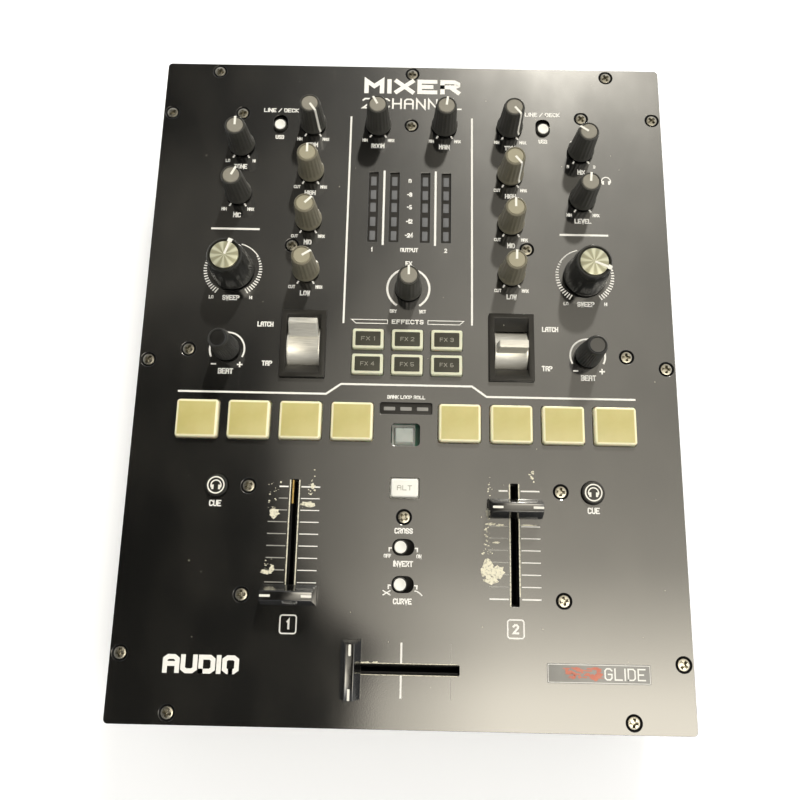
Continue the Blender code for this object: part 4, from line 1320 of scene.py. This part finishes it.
def jack(nose, bore):
    """A threaded nose, its washer, and the bore, facing up."""
    body = ring([(bore, 0.7), (nose - 0.3, 0.7), (nose, 0.4), (nose, -14), (bore, -14)], 32)
    washer = ring([(nose, 0.32), (nose + 2, 0.32), (nose + 2.2, 0.05), (nose, 0.05)], 32)
    return joined(body, washer)


def build_jacks():
    rear_piece("microphone_jack", jack(5.6, 3.3), "steel", MIC_AT)
    for name, x, z, nose, bore in (("phones_jack", 84, 33, 5.2, 3.3), ("small_phones_jack", 103, 36, 3.2, 1.8)):
        facing = rotated(facing_rear(jack(nose, bore)), HALF_TURN, "Z")
        piece(name, facing, "steel", "circuit_green", at=on_panel(x, -WALL_OUT, z - FLOOR_TO_PANEL))
    shell = carved(block((12, 11), -16, 0.8, 0.6, 0.2), block((8.8, 8), -10.5, 5, 0.8))
    rear_piece("usb_socket", shell, "steel", USB_AT)
    rear_piece("usb_tongue", block((5.6, 3.2), -10.6, -2, 0.3), "white", USB_AT)


def build_rear():
    low, high = 11.4 - FLOOR_TO_PANEL, 13 - FLOOR_TO_PANEL
    board = block((228, 34), low, high, 1, at=(0, 136))
    supply = block((56, 50), low, high, 1, at=(-86, 94))
    can = block((36, 32), high, 40 - FLOOR_TO_PANEL, 1.5, 1, at=(-92, 98))
    piece("rear_circuit_board", fused(board, supply, can), "board", "socket_dark", stands_for=["socket_board"])
    build_power()
    build_round_sockets()
    build_jacks()
    labels = Print()
    for text, x, z, height in (
        ("POWER", POWER_AT[0], 47.5, 2.4),
        ("USB", USB_AT[0], 34.5, 2.4),
        ("MAIN OUT", sum(XLR_X) / 2, 50.5, 2.4),
        ("1 DECK", PHONO_X[0], 50.5, 2.2),
        ("LINE", PHONO_X[1], 50.5, 2.2),
        ("2 DECK", PHONO_X[2], 50.5, 2.2),
        ("LINE", PHONO_X[3], 50.5, 2.2),
        ("MIC IN", MIC_AT[0], 42.5, 2.4),
    ):
        labels.word(text, -x, z, height)
    print_on_wall = rotated(rotated(labels.bm, 90, "X"), HALF_TURN, "Z")
    piece("rear_print", print_on_wall, "ink", "case_black", at=rear_point(0, 0, 0.01))


# ---- studio

CAMERA_AT = (-0.9, -88.5, 328.3)  # over the front of the panel, held almost level
CAMERA_TILT = (12.416, 0.077, 1.192)
CAMERA_LENS = 32.95
LAMP_COLOUR = (1, 0.955, 0.85)
KEY_SIZE, KEY_POWER, KEY_DISTANCE = 0.25, 8, 1.3
LAMP_TOWARDS = (0.27, 1.12, 1)
SHEEN_POWER, SHEEN_DISTANCE = 5900, 3.1
SHEEN_CONE = 7.6  # degrees, narrow enough to leave the left of the panel dark
SHEEN_AIM = (88, 62, 0)  # millimetres from the panel's middle


def build_camera():
    data = bpy.data.cameras.new("camera")
    data.lens = CAMERA_LENS
    data.sensor_width = 36
    data.clip_start = 0.01
    camera = bpy.data.objects.new("camera", data)
    camera.location = on_panel(*CAMERA_AT)
    camera.rotation_euler = [math.radians(angle) for angle in CAMERA_TILT]
    link(camera)
    bpy.context.scene.camera = camera


# The sky over the panel, by v, the slope of a direction towards the rear: where the bright side begins
# (as a slope to the right), and how bright the two sides are.
SKY_STOPS = (
    # v, edge, dark side, bright side
    (-0.3, -0.04, 0.004, 0.88),
    (-0.17, -0.04, 0.006, 0.78),
    (-0.11, -0.02, 0.004, 0.54),
    (-0.06, -0.09, 0.003, 0.39),
    (0.00, -0.13, 0.002, 0.25),
    (0.1, -0.16, 0.002, 0.19),
    (0.24, -0.18, 0.003, 0.14),
    (0.33, -0.1, 0.014, 0.13),
    (0.38, -0.06, 0.032, 0.11),
    (0.47, 0.01, 0.03, 0.09),
    (0.55, 0.02, 0.022, 0.08),
    (0.62, 0.03, 0.004, 0.09),
    (0.72, 0.00, 0.004, 0.14),
    (0.9, 0.00, 0.004, 0.15),
)
SKY_V = (-0.3, 0.9)
SKY_STRENGTH = 8.7
ROOM_LIGHT = 0.62


def build_sky():
    """A soft studio: brighter over the right hand and the far edge, dark over the left."""
    world = bpy.data.worlds.new("studio")
    bpy.context.scene.world = world
    world.use_nodes = True
    sky = Nodes(world.node_tree)
    background = sky.tree.nodes["Background"]
    maths, between = sky.maths, sky.between

    axes = sky.axes(sky.node("ShaderNodeTexCoord", {}).outputs["Generated"])
    up = maths("MAXIMUM", axes["Z"], 0.05)
    u = maths("DIVIDE", axes["X"], up)
    v = maths("DIVIDE", axes["Y"], up)
    ramp = sky.node("ShaderNodeValToRGB", {0: between(v, 0, 1, *SKY_V)})
    stops = ramp.color_ramp.elements
    while len(stops) < len(SKY_STOPS):
        stops.new(0.5)
    for stop, (slope, edge, dark, bright) in zip(stops, SKY_STOPS):
        stop.position = (slope - SKY_V[0]) / (SKY_V[1] - SKY_V[0])
        stop.color = (edge + 0.5, dark, bright, 1)
    channels = sky.node("ShaderNodeSeparateColor", {0: ramp.outputs["Color"]})
    past_edge = maths("SUBTRACT", maths("ADD", u, 0.5), channels.outputs[0])
    share = maths("ADD", between(past_edge, 0, 0.5, -0.04, 0.03, True), between(past_edge, 0, 0.5, 0, 0.2, True))
    spread = maths("SUBTRACT", channels.outputs[2], channels.outputs[1])
    overhead = maths("ADD", channels.outputs[1], maths("MULTIPLY", spread, share))
    overhead = maths("MULTIPLY", overhead, SKY_STRENGTH)
    over_panel = between(maths("ABSOLUTE", u, 0), 1, 0, 0.5, 0.8, True)
    over_panel = maths("MULTIPLY", over_panel, between(v, 0, 1, -0.6, -0.28, True))
    over_panel = maths("MULTIPLY", over_panel, between(v, 1, 0, 0.85, 1.15, True))
    room = maths("ADD", between(axes["Y"], 0.4, 1.45, -0.9, 0.9), between(axes["X"], -0.25, 0.35, -0.9, 0.9))
    room = maths("MULTIPLY", room, ROOM_LIGHT)
    level = maths("ADD", room, maths("MULTIPLY", maths("SUBTRACT", overhead, room), over_panel))
    sky.tree.links.new(level, background.inputs["Strength"])
    tint = sky.node("ShaderNodeMix", {0: over_panel, 6: (0.97, 0.98, 1, 1), 7: (1, 0.93, 0.78, 1)}, data_type="RGBA")
    sky.tree.links.new(tint.outputs[2], background.inputs["Color"])


def build_lights():
    """A soft lamp from the rear right for everything, and a far one whose sheen only the panel shows."""
    towards = Vector(LAMP_TOWARDS).normalized()
    turn = towards.to_track_quat("Z", "Y").to_euler()
    key = bpy.data.lights.new("key", "AREA")
    key.size = KEY_SIZE
    key.energy = KEY_POWER
    sheen = bpy.data.lights.new("sheen", "SPOT")
    sheen.shadow_soft_size = 0.1
    sheen.spot_size = math.radians(SHEEN_CONE)
    sheen.spot_blend = 1
    sheen.energy = SHEEN_POWER
    for data, aim, distance in (
        (key, Vector(), KEY_DISTANCE),
        (sheen, Vector(SHEEN_AIM) * MM, SHEEN_DISTANCE),
    ):
        data.color = LAMP_COLOUR
        light = bpy.data.objects.new(data.name, data)
        light.location = PANEL + aim + towards * distance
        light.rotation_euler = turn
        light.visible_glossy = data is sheen
        light.visible_diffuse = data is key
        link(light)
    panel_only = bpy.data.collections.new("panel_only")
    panel_only.objects.link(bpy.data.objects["control_panel"])
    light.light_linking.receiver_collection = panel_only


def build_floor():
    bm = bmesh.new()
    bmesh.ops.create_grid(bm, x_segments=1, y_segments=1, size=3)
    mesh = mesh_from(bm)
    surface = Finish("pale_floor", (0.88, 0.9, 0.94), 0.7, Emission_Color=(1, 1, 1, 1), Emission_Strength=0.26)
    surface.feed(Roughness=surface.between(surface.noise(60), 0.65, 0.75))
    mesh.materials.append(surface.material)
    floor = bpy.data.objects.new("floor", mesh)
    link(floor)


def main():
    build_finishes()
    build_plate()
    build_screws()
    build_print()
    build_wear()
    build_small_knobs()
    build_filter_knobs()
    build_loop_knobs()
    build_keys()
    build_other_buttons()
    build_sliders()
    build_caps()
    build_fader_guides()
    build_paddles()
    build_lamps()
    build_control_board()
    build_case()
    build_rear()
    build_floor()
    build_sky()
    build_lights()
    build_camera()
    bpy.context.scene.view_settings.view_transform = "Standard"
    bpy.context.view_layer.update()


main()
